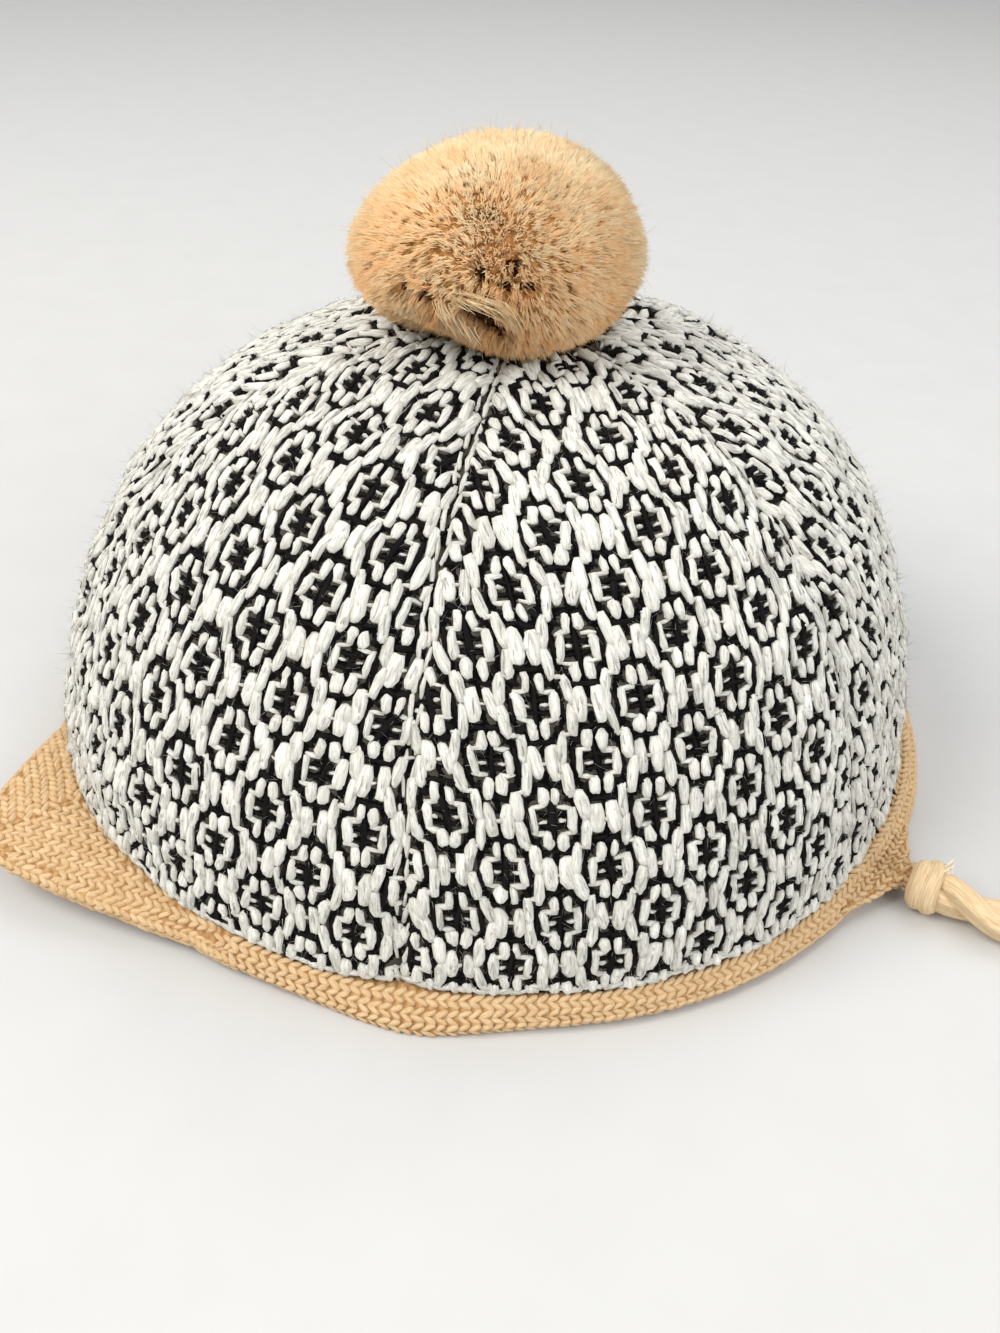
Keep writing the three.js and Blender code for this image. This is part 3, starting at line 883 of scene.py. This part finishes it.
band = {
    "section": [(-3.2, 5.6), (0.1, 5.6), (1.7, 3.9), (2.2, 1.8), (1.5, 0.0), (-2.4, 0.0), (-3.3, 1.8)],
    "outside": [(-2.4, 5.6), (0.0, 5.7), (1.6, 3.9), (2.1, 1.8), (1.4, 0.3)],  # both out and up from the rim
    "ring": 82.0,  # mean radius
    "top": 5.6,
    "out": 2.2,
    "steps": 240,
    "wales": (3.45, 5.5, 7.5),
    "topWale": 1.4,  # shows where the crown draws in
    "topDeg": 82.0,  # to either side of the back
    "pitch": 1.7,
    "leg": (0.98, 2.25, 0.95),
    "flare": (3.0, 49.0, 9.0, 5.7),  # how far its foot stands out, at and over which degrees, how high
    "legSpread": 0.52,
    "legLean": 29.0,
    "palest": 0.5,
}
visorHalf = 28.0  # degrees to either side of the front
clearDeg = math.degrees(0.15 / crown["rim"])  # between band and visor
ringSpan = (visorHalf + clearDeg, 360 - visorHalf - clearDeg)


def bandFlare(deg, up):
    most, middle, wide, high = band["flare"]
    return most * np.exp(-(((deg - middle) / wide) ** 2)) * (1 - up / high)


def bandAt(deg, out, up):
    return around(deg, rimRadius(deg) + out + bandFlare(deg, up), rimLift(deg) + up)


def makeBand():
    section = smoothLoop(np.array(band["section"]), 2)
    degs = np.linspace(*ringSpan, band["steps"] + 1)
    points = np.concatenate([bandAt(d, *section.T) for d in degs])
    along = np.radians(degs)[:, None] * band["ring"]
    cloth = np.stack(np.broadcast_arrays(along, arcLength(section)[None]), -1).reshape(-1, 2)
    loftPiece("bandBody", points, len(degs), cloth, "edge_band")


def bandPoint(deg, s):
    line = np.array(band["outside"])
    return bandAt(deg, *alongCurve(line.T, arcLength(line), s))


def turnedTo(normal, way):
    return normal * np.sign(np.sum(normal * way, 1))[:, None]


def legPair(centre, along, across, normal, spread, lean):
    points, directions = [], []
    for side in (1, -1):
        a = math.radians(lean) * side
        points.append(centre + across * side * spread)
        directions.append(along * math.cos(a) + across * math.sin(a))
    return np.concatenate(points), np.concatenate(directions), np.concatenate([normal, normal])


def legRow(centre, across, way, spread):
    along = unit(np.gradient(centre, axis=0))
    normal = turnedTo(unit(np.cross(along, across)), way)
    return legPair(centre, along, np.cross(normal, along), normal, spread, band["legLean"])


def edgeRow(centre, normalOf, spread, lean):
    along = unit(np.gradient(centre, axis=0))
    normal = np.broadcast_to(unit(normalOf(along)), along.shape)
    return legPair(centre, along, np.cross(normal, along), normal, spread, lean)


def addLegs(name, parts, size, seed, palest=0.0):
    points, directions, normals = (np.concatenate(p) for p in zip(*parts))
    count = len(points)
    scale = np.array(size) * rng.normal(1, 0.06, (count, 3))
    points = points - normals * 0.12 + rng.normal(0, 0.04, (count, 3))
    directions = unit(directions + rng.normal(0, 0.06, (count, 3)))
    tone = rng.uniform(palest, 1, count)
    addField(name, "camel_wool", plump, camelYarn, points, directions, normals, scale, tone, 0.45, seed)


def makeBandStitches():
    start, end = ringSpan
    steps = int(np.radians(end - start) * band["ring"] / band["pitch"])
    parts = []
    for wale in (band["topWale"],) + band["wales"]:
        deg = np.linspace(start - 0.15, end + 0.15, steps)
        if wale == band["topWale"]:
            deg = deg[np.abs(deg - 180) < band["topDeg"]]
        centre = bandPoint(deg, wale)
        along = unit(bandPoint(deg + 0.4, wale) - bandPoint(deg - 0.4, wale))
        across = unit(bandPoint(deg, wale + 0.4) - bandPoint(deg, wale - 0.4))
        normal = turnedTo(unit(np.cross(across, along)), around(deg, 1.0, 0.7))
        parts.append(legPair(centre, along, across, normal, band["legSpread"], band["legLean"]))
    addLegs("bandStitches", parts, band["leg"], 11, band["palest"])


makeBand()
makeBandStitches()
print("edge band made")


# visor

visor = {
    "tip": 112.0,
    "slope": 0.97,
    "round": 9.7,
    "thick": 3.0,
    "edgeSide": 2.9,
    "edgeFront": 8.2,
    "ridge": 1.0,
    "ridgeDeg": 7.0,
    "inside": [(-0.5, 0.0), (-2.4, 0.0), (-3.3, 1.8), (-3.2, 5.6)],  # out and up from the rim
    "steps": 96,
    "grain": (0.79, 0.62),  # the way the cloth lies
    "waleFirst": 3.3,
    "waleGap": 2.75,  # along the mitre
    "waleInset": (2.6, 0.3),  # from the edge and from the crown
    "wales": 15,
    "turn": {1: 0.97, -1: 0.16},  # how far the ribs slope back on either side
    "halves": ((1, "Near", 0.5, (1.0, 2.25, 0.95)), (-1, "Far", 0.64, (1.2, 2.4, 1.25))),
    "edgeRows": ((0.55, 1.05, 1.1), (0.15, -0.45, -0.25)),  # inset, rise and tilt
    "edgeLeg": (1.05, 2.3, 0.95),
}


def visorReach(deg):
    c = np.cos(np.radians(deg))
    s = visor["slope"] * np.sin(np.radians(deg))
    a, b = c * c - s * s, visor["tip"] * c
    reach = (b - np.sqrt(b * b - a * (visor["tip"] ** 2 - visor["round"] ** 2))) / a
    return np.maximum(reach, rimRadius(deg) + band["out"])


def visorEdge(deg):
    share = ease(1 - np.abs(deg) / visorHalf)
    return visor["edgeSide"] + (visor["edgeFront"] - visor["edgeSide"]) * share


def visorTop(deg, t):
    rim = rimRadius(deg)
    ridge = visor["ridge"] * ease(1 - np.abs(deg) / visor["ridgeDeg"])
    base, edge = rimLift(deg) + band["top"], visorEdge(deg)
    half = visor["thick"] / 2
    root, middle, outer = base + ridge / 2, (base + edge + half) / 2 + ridge, edge + half + ridge / 2
    z = root * (1 - t) * (1 - 2 * t) + middle * 4 * t * (1 - t) + outer * t * (2 * t - 1)
    return around(deg, rim + 0.1 + (visorReach(deg) - rim - 0.9) * t, z)


def visorLoop(deg):
    rim, reach, lift, edge = (float(of(deg)) for of in (rimRadius, visorReach, rimLift, visorEdge))
    half = visor["thick"] / 2
    top = visorTop(np.full(9, deg), np.linspace(0, 1, 9))
    rest = [
        (reach - 0.2, edge + half * 0.6),
        (reach, edge),
        (reach - 0.2, edge - half * 0.6),
        (reach - half * 0.6, edge - half),
        ((rim + reach) / 2, max(lift, (lift + band["top"] + edge) / 2 - visor["thick"])),
    ]
    rest += [(rim + out, lift + up) for out, up in visor["inside"]]
    return np.concatenate([top, [around(deg, r, z) for r, z in rest]])


def makeVisor():
    degs = np.linspace(-visorHalf + clearDeg, visorHalf - clearDeg, visor["steps"] + 1)
    points = np.concatenate([visorLoop(d) for d in degs])
    c, s = visor["grain"]
    cloth = np.stack([points[:, 0] * c + points[:, 1] * s, points[:, 1] * c - points[:, 0] * s], 1)
    loftPiece("visorBody", points, len(degs), cloth, "visor")


def visorSection(deg):
    top = visorTop(np.full(17, deg), np.linspace(1, 0, 17))
    line = np.concatenate([[around(deg, float(visorReach(deg)), float(visorEdge(deg)))], top])
    return line, arcLength(line)


def visorPoint(deg, s):
    found = []
    for d, distance in zip(deg, s):
        line, arc = visorSection(d)
        found.append(alongCurve(line.T, arc, distance))
    return np.array(found)


def visorWale(side, row):
    deg = np.linspace(visorHalf - 0.35, 0.15, 120)
    a = np.radians(deg)
    along = visor["tip"] - visor["waleFirst"] - visor["waleGap"] * row
    s = visorReach(deg) - along / (np.cos(a) + visor["turn"][side] * np.sin(a))
    width = np.array([visorSection(side * d)[1][-1] for d in deg])
    inside = (s > visor["waleInset"][0]) & (s < width - visor["waleInset"][1])
    return side * deg[inside], s[inside]


def makeVisorStitches():
    for side, name, spread, leg in visor["halves"]:
        parts = []
        for row in range(visor["wales"]):
            deg, s = visorWale(side, row)
            if len(deg) < 4:
                continue
            arc = arcLength(visorPoint(deg, s))
            deg, s = alongCurve((deg, s), arc, np.arange(0.5 * band["pitch"], arc[-1], band["pitch"]))
            if len(deg) < 2:
                continue
            across = unit(visorPoint(deg, s + 0.3) - visorPoint(deg, s - 0.3))
            parts.append(legRow(visorPoint(deg, s), across, around(deg, 0.4, 1.0), spread))
        addLegs(f"visorStitches{name}", parts, leg, 12)
    parts = []
    deg = np.linspace(-visorHalf, visorHalf, 64)
    for inset, rise, tilt in visor["edgeRows"]:
        centre = around(deg, visorReach(deg) - inset, visorEdge(deg) + rise)
        parts.append(edgeRow(centre, lambda along: np.cross(along, (0, 0, 1)) + (0, 0, tilt), 0.5, 24.0))
    addLegs("visorEdge", parts, visor["edgeLeg"], 12)


makeVisor()
makeVisorStitches()
print("visor made")


# ear tabs

tab = {
    "deg": 112.5,
    "tip": 90.3,
    "sections": [
        (0.0, 14.0, 3.1, 1.4),
        (0.14, 9.6, 3.2, 1.5),
        (0.28, 5.8, 3.6, 1.5),
        (0.4, 3.2, 4.2, 1.5),
        (0.5, 2.1, 4.4, 1.4),
        (1.0, 1.8, 4.4, 1.3),
    ],  # share of the way out, half width, middle height, half thickness
    "wales": (0.05, 0.25, 0.43, 0.61, 0.79),
    "columns": 20,
    "rows": 24,
    "leg": (0.88, 1.95, 0.9),
    "legWithin": 0.82,
    "edgeWithin": 0.94,
    "edgeFace": 0.3,
}


def besideTab(side, out, across, z):
    a = math.radians(side * tab["deg"])
    x = out * math.sin(a) + across * math.cos(a)
    y = -out * math.cos(a) + across * math.sin(a)
    return np.stack(np.broadcast_arrays(x, y, z), -1)


def tabPoint(side, share, f, face):
    place, *columns = np.array(tab["sections"]).T
    half, middle, thick = alongCurve(columns, place, share)
    across = half * f
    turn = np.arcsin(across / crown["rim"])
    bandFace = (rimRadius(side * tab["deg"] + np.degrees(turn)) + band["out"]) * np.cos(turn) - 0.4
    z = middle + face * thick * np.sqrt(1 - 0.75 * f**2)
    return besideTab(side, bandFace + (tab["tip"] - bandFace) * share, across, z)


def makeTab(side, name):
    rows, columns = tab["rows"] + 1, tab["columns"] + 1
    share, f = np.meshgrid(np.linspace(0, 1, rows), np.linspace(-1, 1, columns), indexing="ij")
    points = np.concatenate([tabPoint(side, share, f, face).reshape(-1, 3) for face in (1, -1)])
    cloth = np.stack([points[:, 0] + points[:, 1], points[:, 1] - points[:, 0]], 1)
    faces = outward(points, sheetFaces(rows, columns))
    piece = meshPiece(f"tabBody{name}", points, faces, [camelCloth], "cloth", cloth)
    settle(piece, [f"ear_tab_{name.lower()}"])


def makeTabStitches(side, name):
    place, halfWidth = np.array(tab["sections"]).T[:2]
    parts = []
    for face in (1, -1):
        for share in tab["wales"]:
            half = float(np.interp(share, place, halfWidth))
            count = max(2, int(1.7 * half / 1.45))
            f = np.linspace(-tab["legWithin"], tab["legWithin"], count)
            out = np.full(count, share)
            across = unit(tabPoint(side, out + 0.03, f, face) - tabPoint(side, out - 0.03, f, face))
            parts.append(legRow(tabPoint(side, out, f, face), across, (0, 0, face), 0.42))
    for edge in (-1, 1):
        f = tab["edgeWithin"] * edge
        fine = np.linspace(0.0, 0.95, 80)
        arc = arcLength(tabPoint(side, fine, f, tab["edgeFace"]))
        share = np.interp(np.arange(0.4, arc[-1], 1.5), arc, fine)
        centre = tabPoint(side, share, f, tab["edgeFace"])
        parts.append(edgeRow(centre, lambda along: besideTab(side, 0.3, edge, 0.9), 0.38, 20.0))
    addLegs(f"tabStitches{name}", parts, tab["leg"], 13)


bothSides = ((1, "Left"), (-1, "Right"))
for side, name in bothSides:
    makeTab(side, name)
    makeTabStitches(side, name)
print("ear tabs made")


# ties

hitch = {
    "start": 86.6,
    "height": 4.4,
    "turns": 2.0,
    "ring": 3.35,
    "yarn": 1.75,
    "first": 1.6,
    "last": 5.3,
    "flatten": 0.82,
    "hairs": 34,
    "hairThick": 0.24,
}
tie = {
    "diameter": 7.0,
    "ply": 2.3,
    "plyOut": 1.2,
    "lay": 22.0,
    "tuck": 4.0,  # hidden in the hitch
    "route": [
        (86.7, 35.9, 4.4), (93.5, 38.9, 4.1), (99.5, 43.5, 3.8), (103.0, 50.0, 3.7), (103.5, 58.0, 3.7),
        (100.5, 67.0, 3.7), (94.0, 75.5, 3.7), (86.0, 82.5, 3.7), (78.5, 90.0, 3.7), (73.5, 98.5, 3.7),
        (72.5, 108.0, 3.7), (76.5, 116.5, 3.7), (84.5, 122.0, 3.7), (94.5, 123.0, 3.7), (104.0, 120.0, 3.7),
        (112.0, 114.0, 3.7), (118.0, 106.0, 3.7), (122.0, 97.0, 4.0), (124.5, 87.5, 4.7), (125.5, 77.5, 5.5),
    ],
    "sides": 12,
}
tieEnd = {
    "ring": 3.3,
    "yarn": 1.9,
    "wraps": ((2.6, 24.0), (5.6, -24.0)),  # place past the cord's end, tilt
    "hairs": 170,
    "hairLength": 13.5,
    "hairThick": 0.55,
    "hairRing": 2.6,
}


def cordPiece(name, parts, node):
    points, faces, uvs = joinParts(parts)
    return settle(meshPiece(name, points, faces, [cordYarn], "strand", uvs), [node])


def makeHitch(side, name):
    t = np.linspace(0, 1, 72)
    a = fullTurn * hitch["turns"] * t + 0.6
    tuck = ease(np.minimum(1, np.minimum(t, 1 - t) / 0.08))
    ring = hitch["ring"] * (0.55 + 0.45 * tuck)
    out = hitch["start"] + (hitch["first"] + (hitch["last"] - hitch["first"]) * t)
    high = hitch["height"] + hitch["flatten"] * ring * np.sin(a)
    path = besideTab(side, out, side * ring * np.cos(a), high)
    wraps = tube(path, hitch["yarn"] * (0.75 + 0.25 * tuck), tie["sides"])
    middle = besideTab(side, hitch["start"] + np.linspace(0.4, 5.4, 8), 0.0, hitch["height"])
    core = tube(middle, np.linspace(2.7, 2.9, 8), tie["sides"])
    cordPiece(f"hitchYarn{name}", [wraps, core], f"tie_hitch_{name.lower()}")
    count = hitch["hairs"]
    across = side * 1.6 + rng.normal(0, 0.6, count)
    high = hitch["height"] + 3.3 + rng.normal(0, 0.3, count)
    start = besideTab(side, hitch["start"] + 4.6, across, high)
    out = besideTab(side, 1.0, side * 0.5, 0.55) + rng.normal(0, 0.28, (count, 3))
    size = thinSize(hitch["hairThick"], rng.uniform(1.0, 1.9, count))
    twist = rng.normal(0, 1, (count, 3))
    tone = rng.uniform(0.8, 1, count)
    addField(f"hitchTuft{name}", "cord_wool", frayHair, litFrayYarn, start, out, twist, size, tone, 0.4, 14)


def tieRoute(side):
    route = np.array(tie["route"])
    tucked = route[0] - unit(route[1] - route[0]) * tie["tuck"]
    return smoothPath(np.concatenate([[tucked], route]) * (side, 1, 1), 1.4)


def makeCord(side, name):
    route = tieRoute(side)
    across, up = carriedFrames(route)
    arc = arcLength(route)
    parts = []
    for ply in (0, 1):
        a = fullTurn * arc / tie["lay"] + math.pi * ply
        wander = 1 + 0.03 * np.sin(arc * 0.41 + ply)
        path = route + (across * np.cos(a)[:, None] + up * np.sin(a)[:, None]) * tie["plyOut"]
        parts.append(tube(path, tie["ply"] * wander, tie["sides"]))
    return cordPiece(f"tieCord{name}", parts, f"tie_cord_{name.lower()}"), route, arc[-1]


def makeTieEnd(side, name):
    route = tieRoute(side)
    axis = unit(route[-1] - route[-3])
    flat = unit(np.cross(axis, (0, 0, 1)))
    rise = np.cross(flat, axis)
    a = np.linspace(0, fullTurn, 40)
    ring = tieEnd["ring"]
    parts = []
    for place, tilt in tieEnd["wraps"]:
        forth = place + math.tan(math.radians(tilt)) * ring * np.cos(a)
        path = route[-1] + axis * forth[:, None] + flat * (ring * np.cos(a))[:, None]
        path = path + rise * (0.92 * ring * np.sin(a))[:, None]
        parts.append(tube(path, tieEnd["yarn"], tie["sides"]))
    core = tube(route[-1] + axis * np.linspace(-1, 12, 10)[:, None], np.linspace(3.1, 2.2, 10), tie["sides"])
    knot = cordPiece(f"tieKnot{name}", parts + [core], f"tie_end_{name.lower()}")
    count = tieEnd["hairs"]
    a = rng.uniform(0, fullTurn, count)
    out = np.sqrt(rng.uniform(0, 1, count)) * tieEnd["hairRing"]
    spoke = flat * np.cos(a)[:, None] + rise * np.sin(a)[:, None]
    start = route[-1] + axis * 8.0 + spoke * out[:, None]
    direction = unit(axis + spoke * (out * 0.045)[:, None] + rng.normal(0, 0.06, (count, 3)))
    size = thinSize(tieEnd["hairThick"], tieEnd["hairLength"] * rng.uniform(0.82, 1.02, count))
    tone = rng.uniform(0, 1, count)
    look = ("cord_wool", frayHair, litFrayYarn)
    return knot, addField(f"tieTuft{name}", *look, start, direction, spoke, size, tone, 1.2, 5)


for side, name in bothSides:
    makeHitch(side, name)
    cord, route, length = makeCord(side, name)
    ends = makeTieEnd(side, name)
print("ties made, each", round(float(length)), "mm")


# pompom

pompom = {
    "centre": (0.2, -5.7, 95.0),
    "across": 24.2,
    "up": 17.1,
    "tufts": 4700,
    "perTuft": 16,
    "root": 0.8,
    "core": 0.9,
    "coreGrid": (58, 116),
    "dark": 0.25,  # painted shade: the core takes the dark pit material where it is dented more than this
    "thick": 0.5,
    "flatSide": (-0.726, -0.402, 0.54),
    "notch": (0.25, -0.72, -0.65),  # drawn in at the lower front
    "slits": (
        ((0.823, -0.7, -0.184), (0.903, -0.47, -0.464), 0.1, 1.0),
        ((0.33, -0.99, -0.065), (0.595, -0.87, -0.157), 0.045, 0.75),
    ),  # both ends seen from the centre, width and depth
    "pits": ((0.97, -0.335, 0.03), (0.91, -0.47, 0.05), (0.81, -0.62, 0.11), (0.92, -0.41, 0.18)),
    "pitWidth": 0.05,
    "pitDepth": 0.7,
    "comb": 0.06,
    "combWidth": 0.13,
    "locks": (
        ((0.584, -0.81, -0.05), (0.72, -0.53, -0.48), 0.0),
        ((0.68, -0.732, -0.04), (0.9, -0.3, -0.37), 0.14),
    ),  # start, end and how far it bows round the slit
    "lockStrands": 80,
    "lockSteps": 6,
    "hairs": 1200,
    "hairThick": 0.055,
}


def softNoise(d, scale, seed):
    gen = np.random.default_rng(seed)
    total = np.zeros(len(d))
    for _ in range(14):
        k = gen.normal(0, 1, 3) * scale
        total += np.sin(d @ k + gen.uniform(0, fullTurn))
    return total / 3.7


def pompomRadius(d):
    level = (d[:, 0] ** 2 + d[:, 1] ** 2) / pompom["across"] ** 2
    plain = 1 / np.sqrt(level + d[:, 2] ** 2 / pompom["up"] ** 2)
    lumps = 0.013 * softNoise(d, 4.0, 17) + 0.008 * softNoise(d, 9.0, 18)
    flat = 0.11 * np.maximum(0, d @ unit(pompom["flatSide"])) ** 6
    notch = 0.2 * np.maximum(0, d @ unit(pompom["notch"])) ** 12
    return plain * (1 - flat - notch + lumps)


def pompomPoint(d, share):
    return np.array(pompom["centre"]) + d * (pompomRadius(d) * share)[:, None]


def besideSlits(d):
    dent = np.zeros(len(d))
    comb = np.zeros_like(d)
    for a, b, width, depth in pompom["slits"]:
        a, b = unit(a), unit(b)
        t = np.clip((d - a) @ (b - a) / np.dot(b - a, b - a), 0, 1)
        off = d - (a + t[:, None] * (b - a))
        apart = np.linalg.norm(off, axis=1)
        dent = np.maximum(dent, depth * np.exp(-((apart / width) ** 2)))
        comb += unit(off) * (pompom["comb"] * np.exp(-((apart / pompom["combWidth"]) ** 2)))[:, None]
    for pit in pompom["pits"]:
        apart = np.linalg.norm(d - unit(pit), axis=1)
        dent = np.maximum(dent, pompom["pitDepth"] * np.exp(-((apart / pompom["pitWidth"]) ** 2)))
    return dent, comb


def makePompomCore():
    rows, columns = pompom["coreGrid"]
    angles = math.pi * np.arange(1, rows) / rows, fullTurn * np.arange(columns) / columns
    theta, phi = np.meshgrid(*angles, indexing="ij")
    d = np.stack([np.sin(theta) * np.cos(phi), np.sin(theta) * np.sin(phi), np.cos(theta)], -1).reshape(-1, 3)
    points = pompomPoint(d, pompom["core"] + 0.012 * softNoise(d, 26.0, 5) - 0.2 * besideSlits(d)[0])
    cloth = np.stack([theta * 24, phi * 24], -1).reshape(-1, 2)
    faces = outward(points, loftFaces(rows - 1, columns))
    # painted shade: faces deep in the slits and pits get the dark pit material
    dark = [int(besideSlits(d[list(f)])[0].mean() > pompom["dark"]) for f in faces]
    piece = meshPiece("pompomCore", points, faces, [pileShadeCloth, pitShadeCloth], "cloth", cloth, dark)
    settle(piece, ["pompom"])


def spread(count):
    k = np.arange(count) + 0.5
    up = 1 - 2 * k / count
    turn = math.pi * (1 + math.sqrt(5)) * k
    ring = np.sqrt(1 - up * up)
    d = np.stack([ring * np.cos(turn), ring * np.sin(turn), up], 1)
    return unit(d + rng.normal(0, 0.012, (count, 3)))


def aboveCrown(points):
    return points[:, 2] > np.interp(np.hypot(points[:, 0], points[:, 1]), curveRadius, curveHeight) + 0.3


def makePompomPile():
    tufts = spread(pompom["tufts"])
    tuft = np.repeat(np.arange(len(tufts)), pompom["perTuft"])
    count = len(tuft)
    dent, comb = besideSlits(tufts)
    lean = np.stack([softNoise(tufts, 7.0, s) for s in (11, 12, 13)], 1) * 0.03
    lean = lean + rng.normal(0, 0.014, tufts.shape) + comb
    trim = 1.0 + rng.normal(0, 0.009, len(tufts)) - 0.1 * dent
    start = unit(tufts[tuft] + rng.normal(0, 0.022, (count, 3)))
    end = unit((tufts + lean)[tuft] + rng.normal(0, 0.018, (count, 3)))
    root = pompomPoint(start, pompom["root"])
    tip = pompomPoint(end, trim[tuft] + rng.normal(0, 0.008, count))
    keep = aboveCrown(tip) & (besideSlits(end)[0] < 0.42) & (besideSlits(start)[0] < 0.6)
    # painted light: tufts paler towards the top and darker below; the noise terms are random tone
    shade = 0.52 + 0.12 * softNoise(tufts, 9.0, 41) + 0.22 * tufts[:, 2] + rng.normal(0, 0.09, len(tufts))
    tone = np.clip(shade[tuft] + rng.normal(0, 0.13, count), 0, 1)
    size = thinSize(pompom["thick"], np.linalg.norm(tip - root, axis=1))
    twist = rng.normal(0, 1, (count, 3))
    for third in range(3):
        pick = keep & (tuft % 3 == third)
        lie = [values[pick] for values in (root, tip - root, twist, size, tone)]
        addField(f"pompomPile{third + 1}", "pompom_wool", spike, pileYarn, *lie, 0.7, 6)
    return int(keep.sum())


def makePompomLock():
    steps, sides = pompom["lockSteps"], 3
    parts = []
    for a, b, bow in pompom["locks"]:
        beside = unit(np.cross(a, b))
        for _ in range(pompom["lockStrands"]):
            first = rng.uniform(0, 0.6)
            t = first + np.linspace(0, rng.uniform(0.18, 0.32), steps)
            start = np.array(a) + rng.normal(0, 0.035, 3)
            end = np.array(b) + rng.normal(0, 0.03, 3)
            arch = np.sin(math.pi * t) * (bow + rng.normal(0, 0.03))
            d = unit(start + (end - start) * t[:, None] + beside * arch[:, None])
            path = pompomPoint(d, np.linspace(0.94, 1.0, steps) + rng.uniform(-0.02, 0.015))
            parts.append(tube(path, 0.1 * np.linspace(1, 0.3, steps), sides))
    points, faces, uvs = joinParts(parts)
    uvs[:, 0] = np.tile(np.linspace(0.5, 1, steps).repeat(sides), len(parts))
    piece = meshPiece("pompomLock", points, faces, [pileYarn], "strand", uvs)
    tone = rng.uniform(0.5, 1, len(parts)).repeat(steps * sides)
    piece.data.attributes.new("tone", "FLOAT", "POINT").data.foreach_set("value", tone.astype(np.float32))
    settle(piece)


def makePompomHairs():
    d = spread(pompom["hairs"])
    count = len(d)
    root = pompomPoint(d, 0.94)
    axis = unit(d + rng.normal(0, 0.45, (count, 3)))
    length = rng.uniform(1.8, 4.2, count)
    keep = aboveCrown(root + axis * length[:, None])
    size = thinSize(pompom["hairThick"], length[keep])
    twist = rng.normal(0, 1, (keep.sum(), 3))
    tone = rng.uniform(0.5, 1, keep.sum())
    lie = (root[keep], axis[keep], twist, size, tone)
    addField("pompomHairs", "pompom_wool", looseHair, pileYarn, *lie, 1.5, 9)


makePompomCore()
print("pompom made:", makePompomPile(), "strands")
makePompomLock()
makePompomHairs()


# loose fibres that stand off the crown

fuzz = {"perGore": 300, "length": 2.8, "thick": 0.04, "short": 1000, "shortLength": 1.7}


def makeFuzz(index, name, shape, count, reach, thick):
    v = rimArc * np.sqrt(rng.uniform(0.06, 0.98, count))
    deg = goreStart(index) + crown["goreDeg"] * rng.uniform(0.02, 0.98, count)
    points = crownPoint(deg, v, -0.5)
    normal = crownNormal(deg, v)
    side = unit(np.cross(normal, rng.normal(0, 1, (count, 3))))
    direction = unit(normal + side * rng.uniform(0.3, 1.6, (count, 1)))
    size = thinSize(thick, reach * rng.uniform(0.4, 1.3, count))
    tone = rng.uniform(0.4, 1, count)
    name = f"{name}{index + 1}"
    addField(name, "jacquard_wool", shape, creamYarn, points, direction, normal, size, tone, 1.5, 7)


for gore in range(6):
    makeFuzz(gore, "crownFuzz", looseHair, fuzz["perGore"], fuzz["length"], fuzz["thick"])
    makeFuzz(gore, "crownNap", spike, fuzz["short"], fuzz["shortLength"], 1.5 * fuzz["thick"])
for shape in strandShapes:
    mesh = shape.data
    bpy.data.objects.remove(shape)
    bpy.data.meshes.remove(mesh)
print("loose fibres made")


# floor, light and world

stage = {
    "floor": (199, 198, 195),
    "floorHalf": 12000.0,
    "floorUp": -0.05,
    "world": (226, 228, 232),
    "worldStrength": 0.68,
}


def makeFloor():
    material, tree, shader = startMaterial("stageFloor")
    place = addNode(tree, "ShaderNodeTexCoord").outputs["Object"]
    grain = noise(tree, place, 60.0, 3.0)["Fac"]
    colour = mixColour(tree, grain, linear(stage["floor"]), linear([c + 6 for c in stage["floor"]]))
    feed(tree, shader, [("Base Color", colour), ("Roughness", 0.85)])
    half, up = stage["floorHalf"], stage["floorUp"]
    corners = [(-half, -half, up), (half, -half, up), (half, half, up), (-half, half, up)]
    floor = meshPiece("stageFloor", corners, [(0, 1, 2, 3)], [material])


def addLight(name, place, target, size, power, colour):
    data = bpy.data.lights.new(name, "AREA")
    data.shape = "DISK"
    data.size = size
    data.energy = power
    data.color = colour
    light = addObject(name, data)
    light.location = place
    light.rotation_mode = "QUATERNION"
    light.rotation_quaternion = (Vector(target) - Vector(place)).to_track_quat("-Z", "Y")


makeFloor()
addLight("keyLight", (-0.15, -0.75, 0.85), (0.0, 0.0, 0.04), 0.7, 10.4, (1.0, 0.985, 0.96))
addLight("fillLight", (0.85, 0.15, 0.6), (0.0, 0.0, 0.04), 0.8, 5.0, (0.95, 0.97, 1.0))
addLight("topLight", (-0.25, 0.45, 1.0), (0.0, 0.0, 0.05), 0.9, 4.0, (1.0, 1.0, 1.0))
world = bpy.data.worlds.new("stageWorld")
world.use_nodes = True
background = world.node_tree.nodes["Background"]
feed(world.node_tree, background, [("Color", linear(stage["world"])), ("Strength", stage["worldStrength"])])
scene.world = world
scene.view_settings.view_transform = "Standard"
print("stage lit")

meshes = [o.data for o in scene.objects if o.type == "MESH"]
triangles = [sum(len(p.vertices) - 2 for p in mesh.polygons) for mesh in meshes]
print("triangles", sum(triangles), "most in a piece", max(triangles))
